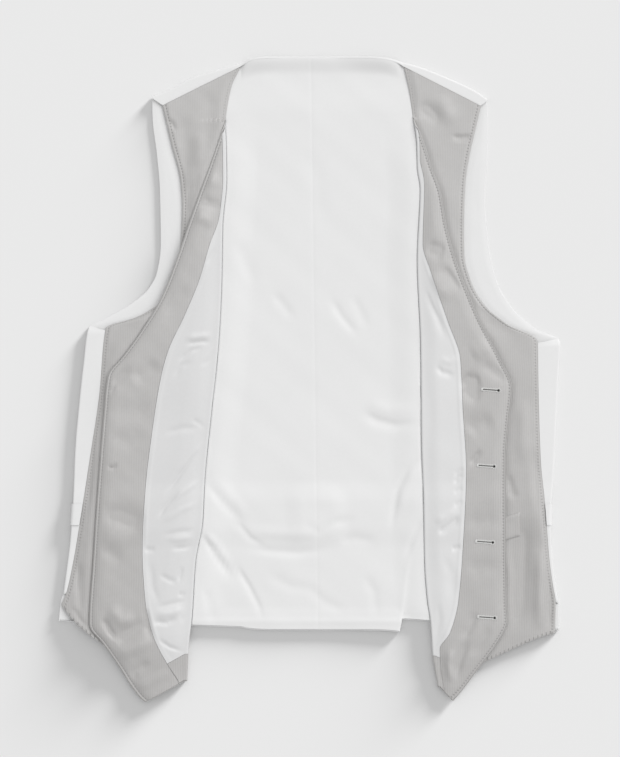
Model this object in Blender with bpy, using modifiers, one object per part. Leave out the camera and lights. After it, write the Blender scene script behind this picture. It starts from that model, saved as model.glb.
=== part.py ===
"""A suit waistcoat laid open on its back, as cloth solids: one object for each cut piece.

Lengths are in millimetres until MM turns them into metres in the meshes. +X is the wearer's
left, +Y runs up to the neck and z = 0 is the surface that the garment lies on. A place on the
garment is given as a drop (how far below the nape level) and an out (how far from the centre
line, towards that piece's own side).
"""

import math

import bmesh
import bpy

MM = 0.001
POINT_DIGITS = 8  # points this alike, in metres, are one point
NAPE_DROP, POINT_DROP = 2.0, 664.5  # the back neck edge and the points of the fronts
CENTRE_DROP = (NAPE_DROP + POINT_DROP) / 2

WALL = 1.0  # cloth with its interlining
GAP = 0.3
LAYER = WALL + GAP
LEAST_FACING = 2.5  # the facing starts where the turned part is at least this wide
LEAST_LINING = 0.6  # and the lining always reaches this far past the bend

# The heights of the middle of each layer, from the surface up.
BACK_SHELL_Z = WALL / 2
BACK_LINING_Z = BACK_SHELL_Z + LAYER
FRONT_SHELL_Z = BACK_SHELL_Z + 3 * LAYER

# The back shell rolls round the side and over the shoulder up to the front's layer.
ROLL = (FRONT_SHELL_Z - BACK_SHELL_Z) / 2
ROLL_OUT = ROLL + WALL / 2
ROLL_STEPS = 4
FOLD_STEPS = 5
FLAT_STEPS = 3
LOW_SHARES = (0.13, 0.4, 0.7, 1.0)  # a front's columns after the side seam, up to its fold
SEAM_SHARE = 0.4  # where the facing's seam crosses the turned part, for its drop in a row
CURL_SHARE, LINED_CURL = 0.7, 0.85  # of a row that only curls up: its bend, and its lining
LINING_INSET = 0.7  # a back lining stops this far inside the shell's edges
PAST_SHARE = 0.012  # the column just past the neck column, where the pleat steps up
OUTER_SHARES = (0.0, 1 / 3, 2 / 3, 1.0)  # a back's columns past the neck column
NECK_CURVE = 8  # how squarely the back neck edge turns down at the neck points

# Strap, in drops: it lies under the back and lifts all the cloth above it.
STRAP_TOP, STRAP_BOTTOM, STRAP_RAMP = 460.0, 484.0, 24.0
STRAP_LIFT = LAYER
STRAP_WIDTH = 22.0
BUCKLE_LIFT = 1.5  # more lift over the buckle
BUCKLE_REACH, BUCKLE_SPREAD = 14.0, 35.0

# Buckle: a slide with two slots.
BUCKLE_SIZE = (20.0, 28.0, 1.2)
BUCKLE_BAR = 2.5
BUCKLE_RIM = 2.4

BUTTON_RADIUS = 7.5
BUTTON_THICK = 2.4
BUTTON_PLAY = 0.5  # room above and below a button
BUTTON_INSET = 16.0  # centre of a button from the front edge
BUTTON_DROPS = (344.5, 422.5, 500.5, 578.0)
HOLE_LENGTH, HOLE_SLIT, HOLE_EYE = 17.0, 0.8, 1.3
HOLE_OUTS = (194.0, 189.5, 188.0, 190.0)  # centre of each eye
HOLE_TILT = math.radians(-4)

# The centre back seam: (drop, out to the wearer's left).
CENTRE_SEAM = ((0.0, 1.5), (478.0, 7.5), (593.0, 9.0))

# Each front has four lines, as (drop, out): the armhole and side seam, the V edge that becomes
# the fold, the turned front edge, and the seam of the facing on the turned part.
RIGHT_FRONT = {
    "side": (
        (51.5, 151), (91.5, 141.5), (127.5, 132.5), (153.5, 130.5), (184.5, 131.5),
        (212, 135.5), (234, 142.5), (254.5, 154), (263.5, 166.5), (270, 179.5),
        (280.5, 209.5), (349, 216), (416, 226), (484, 236.5), (524.5, 243.5),
        (553, 250), (564.5, 255),
    ),
    "fold": (
        (12, 71.5), (30, 80), (53.5, 85), (67, 86.5), (91.5, 85.5), (127.5, 85), (174, 89),
        (230.5, 90), (292.5, 93), (375, 101.5), (436.5, 107.5), (478, 109.5), (521, 117),
        (576, 120.5), (615, 124.5), (642.5, 125.5),
    ),
    "edge": (
        (67, 86.5), (86.5, 93), (119.5, 104.5), (143, 113), (177, 125), (208, 135.5),
        (249.5, 152), (286.5, 174.5), (308, 190), (330.5, 207), (375, 211.5), (457.5, 218),
        (519, 222), (584, 226), (588, 225), (603.5, 212.5), (629.5, 195), (646, 185),
        (660, 174.5), (664.5, 169.5),
    ),
    "facing": (
        (67, 87), (102, 87.5), (125.5, 88), (167, 93), (194.5, 102.5), (230.5, 113),
        (267, 128), (305, 145.5), (333.5, 153), (390.5, 162), (447, 168.5), (509, 171.5),
        (560.5, 168.5), (591, 162), (626, 147), (649, 135),
    ),
}
LEFT_FRONT = {
    "side": (
        (52, 176), (76, 170.5), (102, 164.5), (133, 160), (179, 158.5), (205, 159),
        (234, 166.5), (256.5, 179.5), (277, 203.5), (293.5, 234.5), (333.5, 235),
        (416, 237.5), (457.5, 241.5), (519, 246.5), (545, 250), (563.5, 253), (593.5, 252),
    ),
    "fold": (
        (12, 97.5), (35, 102.5), (64, 106.5), (91.5, 110), (115.5, 110.5), (138, 113.5),
        (210, 110.5), (297.5, 114), (395.5, 115), (457.5, 117), (519, 118), (560.5, 121),
        (581, 124), (617, 126.5), (649, 131.5),
    ),
    "edge": (
        (64, 106.5), (83.5, 115), (119.5, 127), (140, 134.5), (174, 140.5), (210, 150),
        (246, 163.5), (274, 175.5), (313, 196), (342, 208), (375, 204.5), (416, 201.5),
        (488, 201.5), (560.5, 202.5), (582, 203.5), (586, 202.5), (606.5, 191),
        (630.5, 173.5), (653, 157), (663.5, 148),
    ),
    "facing": (
        (64, 106.5), (102, 112), (133, 118), (194.5, 116.5), (220.5, 124), (272, 141.5),
        (313, 155), (364.5, 157.5), (426.5, 161), (498.5, 158), (560.5, 153),
        (593.5, 144.5), (614, 134), (634.5, 135), (653, 138.5),
    ),
}

# Levels of a front from the shoulder down, each with its drop at the side, at the fold and at
# the front edge, how far the row sags between side and fold, and the rows to the next level.
LEVEL_COLUMNS = ("name", "side", "fold", "edge", "sag", "rows")
RIGHT_LEVELS = (
    ("shoulder", 51.5, 12.0, 12.0, 0.0, 3),
    ("break", 88.5, 67.0, 67.0, 0.0, 6),
    ("turned", 104.0, 89.0, 89.0, 0.0, 5),
    ("armhole", 200.0, 200.0, 200.0, 0.0, 5),
    ("underarm", 280.5, 287.5, 287.5, 0.0, 2),
    ("corner", 330.0, 331.5, 331.5, 0.0, 2),
    ("ramp top", 436.0, 436.0, 436.0, 0.0, 1),
    ("strap top", 460.0, 460.0, 460.0, 0.0, 1),
    ("strap bottom", 484.0, 484.0, 484.0, 0.0, 1),
    ("ramp bottom", 508.0, 508.0, 508.0, 0.0, 2),
    ("vent", 553.0, 586.0, 586.0, 4.0, 2),
    ("lining hem", 560.5, 615.0, 646.0, 10.0, 2),
    ("hem", 564.5, 642.5, 664.5, 14.0, 0),
)
LEFT_LEVELS = (
    ("shoulder", 52.0, 12.0, 12.0, 0.0, 3),
    ("break", 86.5, 64.0, 64.0, 0.0, 6),
    ("turned", 100.0, 83.0, 83.0, 0.0, 5),
    ("armhole", 205.0, 205.0, 205.0, 0.0, 5),
    ("underarm", 293.5, 297.5, 297.5, 0.0, 2),
    ("corner", 341.0, 342.0, 342.0, 0.0, 2),
    ("ramp top", 436.0, 436.0, 436.0, 0.0, 1),
    ("strap top", 460.0, 460.0, 460.0, 0.0, 1),
    ("strap bottom", 484.0, 484.0, 484.0, 0.0, 1),
    ("ramp bottom", 508.0, 508.0, 508.0, 0.0, 2),
    ("vent", 563.5, 584.0, 584.0, 0.0, 2),
    ("lining hem", 582.0, 617.0, 634.5, -2.0, 2),
    ("hem", 593.5, 649.0, 663.5, -4.0, 0),
)

# The side and armhole line of each back half, the shoulder fold, and the column through the
# neck point, which on the left becomes the fold of a pleat below the strap.
RIGHT_BACK = {
    "outer": (
        (41.5, 162), (64, 161.5), (102, 157), (138, 154), (194.5, 153), (223.5, 157),
        (241, 166.5), (256.5, 185), (271, 210.5), (280.5, 228), (313, 232.5), (359.5, 237.5),
        (406, 241.5), (457.5, 243.5), (498.5, 246.5), (534.5, 251), (553, 253.5),
        (562.5, 256), (581.5, 258),
    ),
    "shoulder": ((71.5, 8), (94, 14.5), (118, 21.5), (149, 37), (162, 41.5)),
    "shoulder seam": ((71.5, 12), (151, 51.5)),
    "neck": ((0, 70), (593, 70)),
}
LEFT_BACK = {
    "outer": (
        (44.5, 183), (64, 183), (97, 183), (143, 180), (194.5, 184), (220.5, 189), (241, 196),
        (261.5, 209.5), (282, 233.5), (293.5, 258), (333.5, 256), (375, 254), (436.5, 251),
        (478, 248), (508, 249.5), (545, 253.5), (563.5, 256.5), (591, 257),
    ),
    "shoulder": ((95, 6.5), (113.5, 11.5), (141.5, 22.5), (170.5, 36), (183, 44.5)),
    "shoulder seam": ((97.5, 12), (176, 52)),
    "neck": ((6.5, 95), (200, 105), (436, 116), (478, 115), (518, 103.5), (576, 95.5), (593, 93)),
}

# Levels of a back half from the neck down: the drop at the centre seam, at the neck column, just
# past the neck column and at the outer line, the share of the neck's rise, and the rows after it.
BACK_COLUMNS = ("name", "centre", "neck", "past", "outer", "rise", "rows")
RIGHT_BACK_LEVELS = (
    ("neck edge", NAPE_DROP, 10.5, 10.5, 43.5, 1.0, 1),
    ("neck band", 9.0, 17.0, 17.0, 51.0, 0.4, 1),
    ("yoke", 17.0, 25.0, 25.0, 58.0, 0.0, 2),
    ("blade", 138.0, 138.0, 138.0, 138.0, 0.0, 2),
    ("armhole", 223.5, 223.5, 223.5, 223.5, 0.0, 3),
    ("underarm", 280.5, 280.5, 280.5, 280.5, 0.0, 2),
)
LEFT_BACK_LEVELS = (
    ("neck edge", NAPE_DROP, 9.0, 9.0, 46.5, 1.0, 1),
    ("neck band", 9.0, 16.0, 16.0, 54.0, 0.4, 1),
    ("yoke", 17.0, 24.0, 24.0, 61.0, 0.0, 2),
    ("blade", 138.0, 138.0, 138.0, 138.0, 0.0, 2),
    ("armhole", 220.5, 220.5, 220.5, 220.5, 0.0, 3),
    ("underarm", 293.5, 293.5, 293.5, 293.5, 0.0, 2),
)
# Below the vent the back lies flat to its hem.
RIGHT_BACK_HEM = (("below vent", 570.0, 568.0, 568.0, 562.5), ("hem", 591.0, 588.0, 588.0, 581.5))
LEFT_BACK_HEM = (("below vent", 571.0, 570.0, 566.0, 566.0), ("hem", 591.0, 593.0, 579.5, 591.0))
NECK_RISE = (2.0, 2.0, 3.0, 3.0, 0.0)  # at the centre seam and each column out to the neck

# Pocket welts: (out, drop of the top edge) at the front end and at the side end, and the height.
LEFT_WELT = {"front": (124.0, 497.0), "side": (216.5, 469.5), "height": 24.5}
RIGHT_WELT = {"front": (124.0, 506.5), "side": (209.0, 480.5), "height": 24.5}

GREY_CLOTH = ((0.50, 0.49, 0.48), 0.75, 0.0)
WHITE_SATIN = ((0.80, 0.80, 0.80), 0.35, 0.0)
GREY_PLASTIC = ((0.42, 0.41, 0.40), 0.25, 0.0)
STEEL = ((0.55, 0.55, 0.56), 0.30, 1.0)


def smooth_line(points):
    """The out of a line at any drop: a cubic through its points that never overshoots them."""
    drops = [float(p[0]) for p in points]
    outs = [float(p[1]) for p in points]
    slopes = [
        (outs[i + 1] - outs[i]) / (drops[i + 1] - drops[i]) for i in range(len(points) - 1)
    ]
    tangents = [slopes[0]]
    for before, after in zip(slopes, slopes[1:]):
        same_way = before * after > 0
        tangents.append(2 * before * after / (before + after) if same_way else 0.0)
    tangents.append(slopes[-1])

    def out_at(drop):
        drop = min(max(drop, drops[0]), drops[-1])
        i = max(j for j in range(len(drops) - 1) if drops[j] <= drop)
        span = drops[i + 1] - drops[i]
        t = (drop - drops[i]) / span
        return (
            outs[i] * (1 + 2 * t) * (1 - t) ** 2
            + tangents[i] * span * t * (1 - t) ** 2
            + outs[i + 1] * t * t * (3 - 2 * t)
            + tangents[i + 1] * span * t * t * (t - 1)
        )

    return out_at


def between(a, b, t):
    return a + (b - a) * t


def clamp(value, low=0.0, high=1.0):
    return min(max(value, low), high)


def expand(levels, columns):
    """The rows of a table of levels, as dictionaries, with the rows between levels filled in."""
    rows = []
    named = [dict(zip(columns, level)) for level in levels]
    for above, below in zip(named, named[1:]):
        for i in range(above["rows"]):
            t = i / above["rows"]
            row = {key: between(above[key], below[key], t) for key in columns[1:-1]}
            row["name"] = above["name"] if i == 0 else ""
            rows.append(row)
    last = named[-1]
    rows.append({key: last[key] for key in columns[:-1]})
    return rows


centre_seam = smooth_line(CENTRE_SEAM)


def strap_lift(x, drop):
    """How far the strap and its buckle, lying underneath, lift the cloth."""
    above = clamp((drop - (STRAP_TOP - STRAP_RAMP)) / STRAP_RAMP)
    below = clamp((STRAP_BOTTOM + STRAP_RAMP - drop) / STRAP_RAMP)
    from_buckle = abs(x - centre_seam(drop))
    near = clamp((BUCKLE_SPREAD - from_buckle) / (BUCKLE_SPREAD - BUCKLE_REACH))
    return min(above, below) * (STRAP_LIFT + BUCKLE_LIFT * near)


def place(side, out, drop, z, lifted=True):
    """A point in metres. side is 1 for the wearer's left and -1 for the right."""
    x = side * out
    if lifted:
        z += strap_lift(x, drop)
    return tuple(round(v * MM, POINT_DIGITS) for v in (x, CENTRE_DROP - drop, z))


class Front:
    """One front, folded back on itself along a vertical line."""

    def __init__(self, side, lines, levels, fold_radius):
        self.side = side
        self.lines = {name: smooth_line(points) for name, points in lines.items()}
        self.rows = expand(levels, LEVEL_COLUMNS)
        self.radius = fold_radius
        self.half_turn = math.pi * fold_radius
        self.reach = fold_radius + LAYER + WALL / 2
        for row in self.rows:
            self.measure(row)

    def row_index(self, name):
        return next(i for i, row in enumerate(self.rows) if row["name"] == name)

    def measure(self, row):
        """Where the row's bend starts, and the length of cloth past that."""
        fold_out = self.lines["fold"](row["fold"])
        edge_out = self.lines["edge"](row["edge"])
        turned = max(edge_out - fold_out, 0.0) if row["edge"] > self.first_turned() else 0.0
        angle = math.pi * min(turned / self.reach, 1.0)
        inset = self.reach * math.sin(min(angle, math.pi / 2))
        row["side out"] = self.lines["side"](row["side"])
        row["bend out"] = fold_out + inset
        row["past bend"] = self.radius * angle + max(turned - self.reach, 0.0)
        seam_inset = self.lines["facing"](between(row["fold"], row["edge"], SEAM_SHARE)) - fold_out
        row["faced"] = row["past bend"] > self.half_turn + LEAST_FACING
        row["seam"] = self.half_turn + max(seam_inset - self.reach, LEAST_LINING)

    def first_turned(self):
        return next(row["edge"] for row in self.rows if row["name"] == "break")

    def low(self, row, share, offset):
        """A point of the lower layer, share of the way from the side to the bend."""
        out = between(row["side out"], row["bend out"], share)
        drop = between(row["side"], row["fold"], share) + row["sag"] * (1 - (1 - 2 * share) ** 4)
        return place(self.side, out, drop, FRONT_SHELL_Z - offset)

    def past(self, row, length, offset):
        """A point past the bend's start, after that length of cloth."""
        centre_z = FRONT_SHELL_Z + self.radius
        if length < self.half_turn:
            angle = length / self.radius
            reach = self.radius + offset
            out = row["bend out"] - reach * math.sin(angle)
            return place(self.side, out, row["fold"], centre_z - reach * math.cos(angle))
        flat = length - self.half_turn
        whole = max(row["past bend"] - self.half_turn, flat, 1e-6)
        drop = between(row["fold"], row["edge"], flat / whole)
        return place(self.side, row["bend out"] + flat, drop, centre_z + self.radius + offset)

    def bend_end(self, row):
        """Where the closely spaced points of the bend end, past its start."""
        curling = row["past bend"] < self.half_turn + 1.0
        return CURL_SHARE * row["past bend"] if curling else self.half_turn


def in_steps(start, end, steps):
    return [between(start, end, i / steps) for i in range(steps + 1)]


def full_row(front, row, offset, until, side_share=0.0):
    """Points from the side over the bend to that length past its start."""
    points = [front.low(row, share, offset) for share in (side_share, *LOW_SHARES)]
    bend_end = front.bend_end(row)
    lengths = in_steps(0.0, bend_end, FOLD_STEPS)[1:] + in_steps(bend_end, until, FLAT_STEPS)[1:]
    return points + [front.past(row, length, offset) for length in lengths]


def new_mesh_object(name, mesh, look):
    colour, roughness, metallic = look
    material = bpy.data.materials.new(name)
    material.use_nodes = True
    shader = material.node_tree.nodes["Principled BSDF"]
    shader.inputs["Base Color"].default_value = (*colour, 1.0)
    shader.inputs["Roughness"].default_value = roughness
    shader.inputs["Metallic"].default_value = metallic
    mesh.materials.append(material)
    obj = bpy.data.objects.new(name, mesh)
    garment.objects.link(obj)
    return obj


def sheet(name, rows, look):
    """A cloth wall: the open surface through the rows, thickened evenly to both sides.

    Points that are the same in a row become one, and None leaves that place empty.
    """
    shape = bmesh.new()
    grid = []
    for row in rows:
        made = {}
        verts = []
        for point in row:
            if point is not None and point not in made:
                made[point] = shape.verts.new(point)
            verts.append(made.get(point))
        grid.append(verts)
    for upper, lower in zip(grid, grid[1:]):
        for j in range(len(upper) - 1):
            corners = (upper[j], lower[j], lower[j + 1], upper[j + 1])
            if None in corners:
                continue
            ring = list(dict.fromkeys(corners))
            if len(ring) > 2:
                shape.faces.new(ring)
    loose = [v for v in shape.verts if not v.link_faces]
    bmesh.ops.delete(shape, geom=loose, context="VERTS")
    mesh = bpy.data.meshes.new(name)
    shape.to_mesh(mesh)
    shape.free()
    mesh.shade_smooth()
    obj = new_mesh_object(name, mesh, look)
    wall = obj.modifiers.new("wall", "SOLIDIFY")
    wall.thickness = WALL * MM
    wall.offset = 0.0
    wall.use_even_offset = True
    return obj


def front_shell(front, name):
    rows = [full_row(front, row, 0.0, row["past bend"]) for row in front.rows]
    return sheet(name, rows, GREY_CLOTH)


def front_lining(front, name):
    """From just inside the side seam, round the outside of the bend, to the facing's seam."""
    rows = []
    for row in front.rows[: front.row_index("lining hem") + 1]:
        until = row["seam"] - GAP / 2 if row["faced"] else LINED_CURL * row["past bend"]
        rows.append(full_row(front, row, LAYER, until, side_share=0.01))
    return sheet(name, rows, WHITE_SATIN)


def front_facing(front, name):
    rows = []
    for row in front.rows:
        if not row["faced"]:
            continue
        start = row["seam"] + GAP / 2
        lengths = in_steps(start, row["past bend"], 4)
        rows.append([front.past(row, length, LAYER) for length in lengths])
    return sheet(name, rows, GREY_CLOTH)


def hem_turnup(front, name):
    """The front's own hem, turned up inside, where it shows round the fold."""
    rows = []
    for row in front.rows[front.row_index("lining hem") :]:
        row = dict(row)
        if row["name"] == "lining hem":
            row["fold"] += GAP
            row["edge"] += GAP
        end = row["seam"] - GAP / 2
        bend = front.bend_end(row)
        lengths = in_steps(0.0, bend, FOLD_STEPS) + in_steps(bend, end, 2)[1:]
        rows.append(
            [front.low(row, LOW_SHARES[-2], LAYER)]
            + [front.past(row, length, LAYER) for length in lengths]
        )
    return sheet(name, rows, GREY_CLOTH)


def pocket_welt(front, name, welt):
    """A strip moved out from the front's outer face, slanting up towards the side."""
    rows = []
    for across in in_steps(0.0, 1.0, 4):
        row = []
        for along in in_steps(0.0, 1.0, 8):
            out = between(welt["side"][0], welt["front"][0], along)
            top = between(welt["side"][1], welt["front"][1], along)
            row.append(
                place(front.side, out, top + across * welt["height"], FRONT_SHELL_Z + LAYER)
            )
        rows.append(row)
    return sheet(name, rows, GREY_CLOTH)


class Back:
    """One half of the back, from the centre seam out."""

    def __init__(self, side, lines, levels, hem, front):
        self.side = side
        self.outer = smooth_line(lines["outer"])
        self.neck = smooth_line(lines["neck"])
        shoulder = [(float(out), float(drop)) for out, drop in lines["shoulder"]]
        self.shoulder = smooth_line(shoulder)
        self.shoulder_span = (shoulder[0][0], shoulder[-1][0])
        self.seam_ends = lines["shoulder seam"]
        self.front = front
        self.rows = expand(levels, BACK_COLUMNS)[:-1] + self.side_rows()
        for level in hem:
            self.rows.append(dict(zip(BACK_COLUMNS, (*level, 0.0))))

    def side_rows(self):
        """The rows from the underarm to the vent, at the front's own rows, so the seams meet."""
        start, end = (self.front.row_index(name) for name in ("underarm", "vent"))
        rows = []
        for row in self.front.rows[start : end + 1]:
            drops = dict.fromkeys(("centre", "neck", "past", "outer"), row["side"])
            rows.append({"name": "wrapped", "rise": 0.0, "seam out": row["side out"], **drops})
        return rows

    def flat_row(self, row, index, inset, z):
        """Points from the centre seam to the outer line, or to where the side's roll starts."""
        drop_in = inset if index == 0 else 0.0
        if index == len(self.rows) - 1:
            drop_in = -inset
        centre = self.side * centre_seam(row["centre"]) + GAP / 2
        neck = self.neck(row["neck"])
        middle = between(BUCKLE_SPREAD, neck - centre, 0.6)
        offsets = (0.0, BUCKLE_REACH, BUCKLE_SPREAD, middle, neck - centre)
        points = []
        for offset, rise in zip(offsets, NECK_RISE):
            share = offset / (neck - centre)
            drop = between(row["centre"], row["neck"], share**NECK_CURVE) + drop_in
            points.append(place(self.side, centre + offset, drop, z + rise * row["rise"]))
        outer, outer_drop = self.outer(row["outer"]), row["outer"]
        if row["name"] == "wrapped":
            outer -= ROLL_OUT
        outer -= inset
        past = between(neck, outer, PAST_SHARE)
        for share in OUTER_SHARES:
            out = between(past, outer, share)
            drop = between(row["past"], outer_drop, share)
            if index == 0:
                out, drop = self.shoulder_start(between(PAST_SHARE, 1.0, share))
            points.append(place(self.side, out, drop + drop_in, z))
        if index == 0:
            out, drop = self.shoulder_start(0.0)
            points[4] = place(self.side, out, drop + drop_in, z)
        return points

    def shoulder_start(self, share):
        """Where the roll over the shoulder starts, a share of the way from neck to armhole."""
        out = between(*self.shoulder_span, share)
        drop = self.shoulder(out)
        lean = math.atan(self.shoulder(out + 1.0) - self.shoulder(out - 1.0)) / 2
        return out - ROLL_OUT * math.sin(lean), drop + ROLL_OUT * math.cos(lean)

    def roll(self, out, drop, away, seam):
        """Points from the start of a roll, round it and on to the seam, in (out, drop)."""
        points = []
        centre_z = BACK_SHELL_Z + ROLL
        for i in range(1, ROLL_STEPS + 1):
            angle = math.pi * i / ROLL_STEPS
            reach = ROLL * math.sin(angle)
            z = centre_z - ROLL * math.cos(angle)
            points.append(place(self.side, out + reach * away[0], drop + reach * away[1], z))
        points.append(place(self.side, seam[0], seam[1], FRONT_SHELL_Z))
        return points

    def side_roll(self, row):
        if row["name"] != "wrapped":
            return [None] * (ROLL_STEPS + 1)
        start = self.outer(row["outer"]) - ROLL_OUT
        return self.roll(start, row["outer"], (1.0, 0.0), (row["seam out"] + GAP, row["outer"]))

    def shoulder_rolls(self):
        """The roll over the shoulder, one list of points for each column of the top row."""
        rolls = []
        for share in (0.0, *(between(PAST_SHARE, 1.0, s) for s in OUTER_SHARES)):
            out, drop = self.shoulder_start(share)
            fold_out = between(*self.shoulder_span, share)
            away = ((fold_out - out) / ROLL_OUT, (self.shoulder(fold_out) - drop) / ROLL_OUT)
            (neck_out, neck_drop), (tip_out, tip_drop) = self.seam_ends
            seam = (
                between(neck_out, tip_out, share) + GAP * away[0],
                between(neck_drop, tip_drop, share) + GAP * away[1],
            )
            rolls.append(self.roll(out, drop, away, seam))
        return rolls


def back_shell(back, name):
    flat = [back.flat_row(row, i, 0.0, BACK_SHELL_Z) for i, row in enumerate(back.rows)]
    rows = [points + back.side_roll(row) for points, row in zip(flat, back.rows)]
    rolls = back.shoulder_rolls()
    before = [None] * 4
    after = [None] * (ROLL_STEPS + 1)
    over = [before + [roll[i] for roll in rolls] + after for i in range(ROLL_STEPS + 1)]
    return sheet(name, over[::-1] + rows, WHITE_SATIN)


def back_lining(back, name):
    rows = [back.flat_row(row, i, LINING_INSET, BACK_LINING_Z) for i, row in enumerate(back.rows)]
    return sheet(name, rows, WHITE_SATIN)


def strap_half(back, name):
    """From the buckle, under the back, round the side and up to the side seam."""
    start, over, clear, down = 2.0, 6.3, 11.2, 15.0
    rows = []
    for drop in (STRAP_TOP + 1.0, STRAP_TOP + 1.0 + STRAP_WIDTH):
        centre = back.side * centre_seam(STRAP_TOP)
        fold = back.outer(drop) - ROLL_OUT
        low, high = WALL / 2, BUCKLE_SIZE[2] + GAP + WALL / 2
        profile = [(start, low), (over, high), (clear, high), (down, low), (BUCKLE_SPREAD, low)]
        row = [place(back.side, centre + out, drop, z, lifted=False) for out, z in profile]
        row.append(place(back.side, between(centre + down, fold, 0.5), drop, low, lifted=False))
        row.append(place(back.side, fold, drop, low, lifted=False))
        radius = ROLL + LAYER
        centre_z = BACK_SHELL_Z + ROLL + STRAP_LIFT
        for i in range(1, ROLL_STEPS + 1):
            angle = math.pi * i / ROLL_STEPS
            z = centre_z - radius * math.cos(angle)
            row.append(place(back.side, fold + radius * math.sin(angle), drop, z, lifted=False))
        seam_out = back.front.lines["side"](drop) + GAP
        row.append(place(back.side, seam_out, drop, centre_z + radius, lifted=False))
        rows.append(row)
    return sheet(name, rows, WHITE_SATIN)


def box(name, size, centre):
    shape = bmesh.new()
    bmesh.ops.create_cube(shape, size=1.0)
    bmesh.ops.scale(shape, vec=[s * MM for s in size], verts=shape.verts)
    bmesh.ops.translate(shape, vec=[c * MM for c in centre], verts=shape.verts)
    mesh = bpy.data.meshes.new(name)
    shape.to_mesh(mesh)
    shape.free()
    return mesh


def add_cutter(name, mesh):
    obj = bpy.data.objects.new(name, mesh)
    obj.hide_render = True
    obj.display_type = "WIRE"
    cutters.objects.link(obj)
    return obj


def cut(obj, cutter):
    hole = obj.modifiers.new(cutter.name, "BOOLEAN")
    hole.operation = "DIFFERENCE"
    hole.solver = "EXACT"
    hole.object = cutter


def strap_buckle():
    length, width, thick = BUCKLE_SIZE
    middle_drop = STRAP_TOP + 1.0 + STRAP_WIDTH / 2
    x, y = centre_seam(STRAP_TOP), CENTRE_DROP - middle_drop
    buckle = new_mesh_object(
        "strap_buckle", box("strap_buckle", BUCKLE_SIZE, (x, y, thick / 2)), STEEL
    )
    slot = (length - 3 * BUCKLE_BAR) / 2
    for side in (-1, 1):
        at = x + side * (BUCKLE_BAR + slot) / 2
        size = (slot, width - 2 * BUCKLE_RIM, 3 * thick)
        cut(buckle, add_cutter(f"slot_{side}", box("slot", size, (at, y, thick / 2))))


def keyhole_prisms(front):
    """The four buttonholes as one cutter through the turned part."""
    shape = bmesh.new()
    bottom = FRONT_SHELL_Z + 2 * front.radius - WALL
    height = 4.5
    start = math.asin(HOLE_SLIT / 2 / HOLE_EYE)
    for eye_out, eye_drop in zip(HOLE_OUTS, BUTTON_DROPS):
        outline = [(-HOLE_LENGTH, -HOLE_SLIT / 2), (-HOLE_LENGTH, HOLE_SLIT / 2)]
        outline += [
            (-HOLE_EYE * math.cos(a), HOLE_EYE * math.sin(a))
            for a in in_steps(start, 2 * math.pi - start, 8)
        ]
        verts = []
        for along, across in outline:
            out = eye_out + along * math.cos(HOLE_TILT) - across * math.sin(HOLE_TILT)
            y = along * math.sin(HOLE_TILT) + across * math.cos(HOLE_TILT)
            x, base_y, z = place(front.side, out, eye_drop, bottom, lifted=False)
            lift = strap_lift(front.side * eye_out, eye_drop) * MM
            verts.append(shape.verts.new((x, base_y + y * MM, z + lift)))
        face = shape.faces.new(verts)
        top = bmesh.ops.extrude_face_region(shape, geom=[face])["geom"]
        moved = [v for v in top if isinstance(v, bmesh.types.BMVert)]
        bmesh.ops.translate(shape, vec=(0.0, 0.0, height * MM), verts=moved)
    bmesh.ops.recalc_face_normals(shape, faces=shape.faces)
    mesh = bpy.data.meshes.new("buttonholes")
    shape.to_mesh(mesh)
    shape.free()
    return mesh


def button(name, front, drop):
    """A dished disc with a rim, turned from its profile and lying under the turned front."""
    half = BUTTON_THICK / 2
    profile = (
        (0.0, -half), (BUTTON_RADIUS - 1.2, -half), (BUTTON_RADIUS, -half + 1.0),
        (BUTTON_RADIUS, half - 0.5), (BUTTON_RADIUS - 1.0, half),
        (BUTTON_RADIUS - 2.2, half - 0.9), (0.0, half - 0.9),
    )
    mesh = bpy.data.meshes.new(name)
    points = [(r * MM, 0.0, z * MM) for r, z in profile]
    mesh.from_pydata(points, [(i, i + 1) for i in range(len(points) - 1)], [])
    obj = new_mesh_object(name, mesh, GREY_PLASTIC)
    out = front.lines["edge"](drop) - BUTTON_INSET
    top = FRONT_SHELL_Z + 2 * front.radius - WALL / 2 - BUTTON_PLAY
    x, y, z = place(front.side, out, drop, top - half)
    obj.location = (x, y, z)
    obj.rotation_euler = (math.pi, 0.0, 0.0)
    turn = obj.modifiers.new("turn", "SCREW")
    turn.axis = "Z"
    turn.steps = turn.render_steps = 20
    turn.use_merge_vertices = True
    turn.merge_threshold = 0.00001
    turn.use_normal_calculate = True


for old in list(bpy.data.objects):
    bpy.data.objects.remove(old)
garment = bpy.data.collections.new("suit_waistcoat")
cutters = bpy.data.collections.new("cutters")
bpy.context.scene.collection.children.link(garment)
bpy.context.scene.collection.children.link(cutters)
cutters.hide_render = True

# The right front's fold is the looser one: its buttons and its welt lie inside.
button_room = LAYER + BUTTON_THICK + 2 * BUTTON_PLAY
right_front = Front(-1, RIGHT_FRONT, RIGHT_LEVELS, fold_radius=(button_room + WALL) / 2)
left_front = Front(1, LEFT_FRONT, LEFT_LEVELS, fold_radius=WALL + GAP)
right_back = Back(-1, RIGHT_BACK, RIGHT_BACK_LEVELS, RIGHT_BACK_HEM, right_front)
left_back = Back(1, LEFT_BACK, LEFT_BACK_LEVELS, LEFT_BACK_HEM, left_front)

for half, back in (("left", left_back), ("right", right_back)):
    back_shell(back, f"back_shell_{half}")
    back_lining(back, f"back_lining_{half}")
    strap_half(back, f"back_strap_{half}")
strap_buckle()

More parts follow.
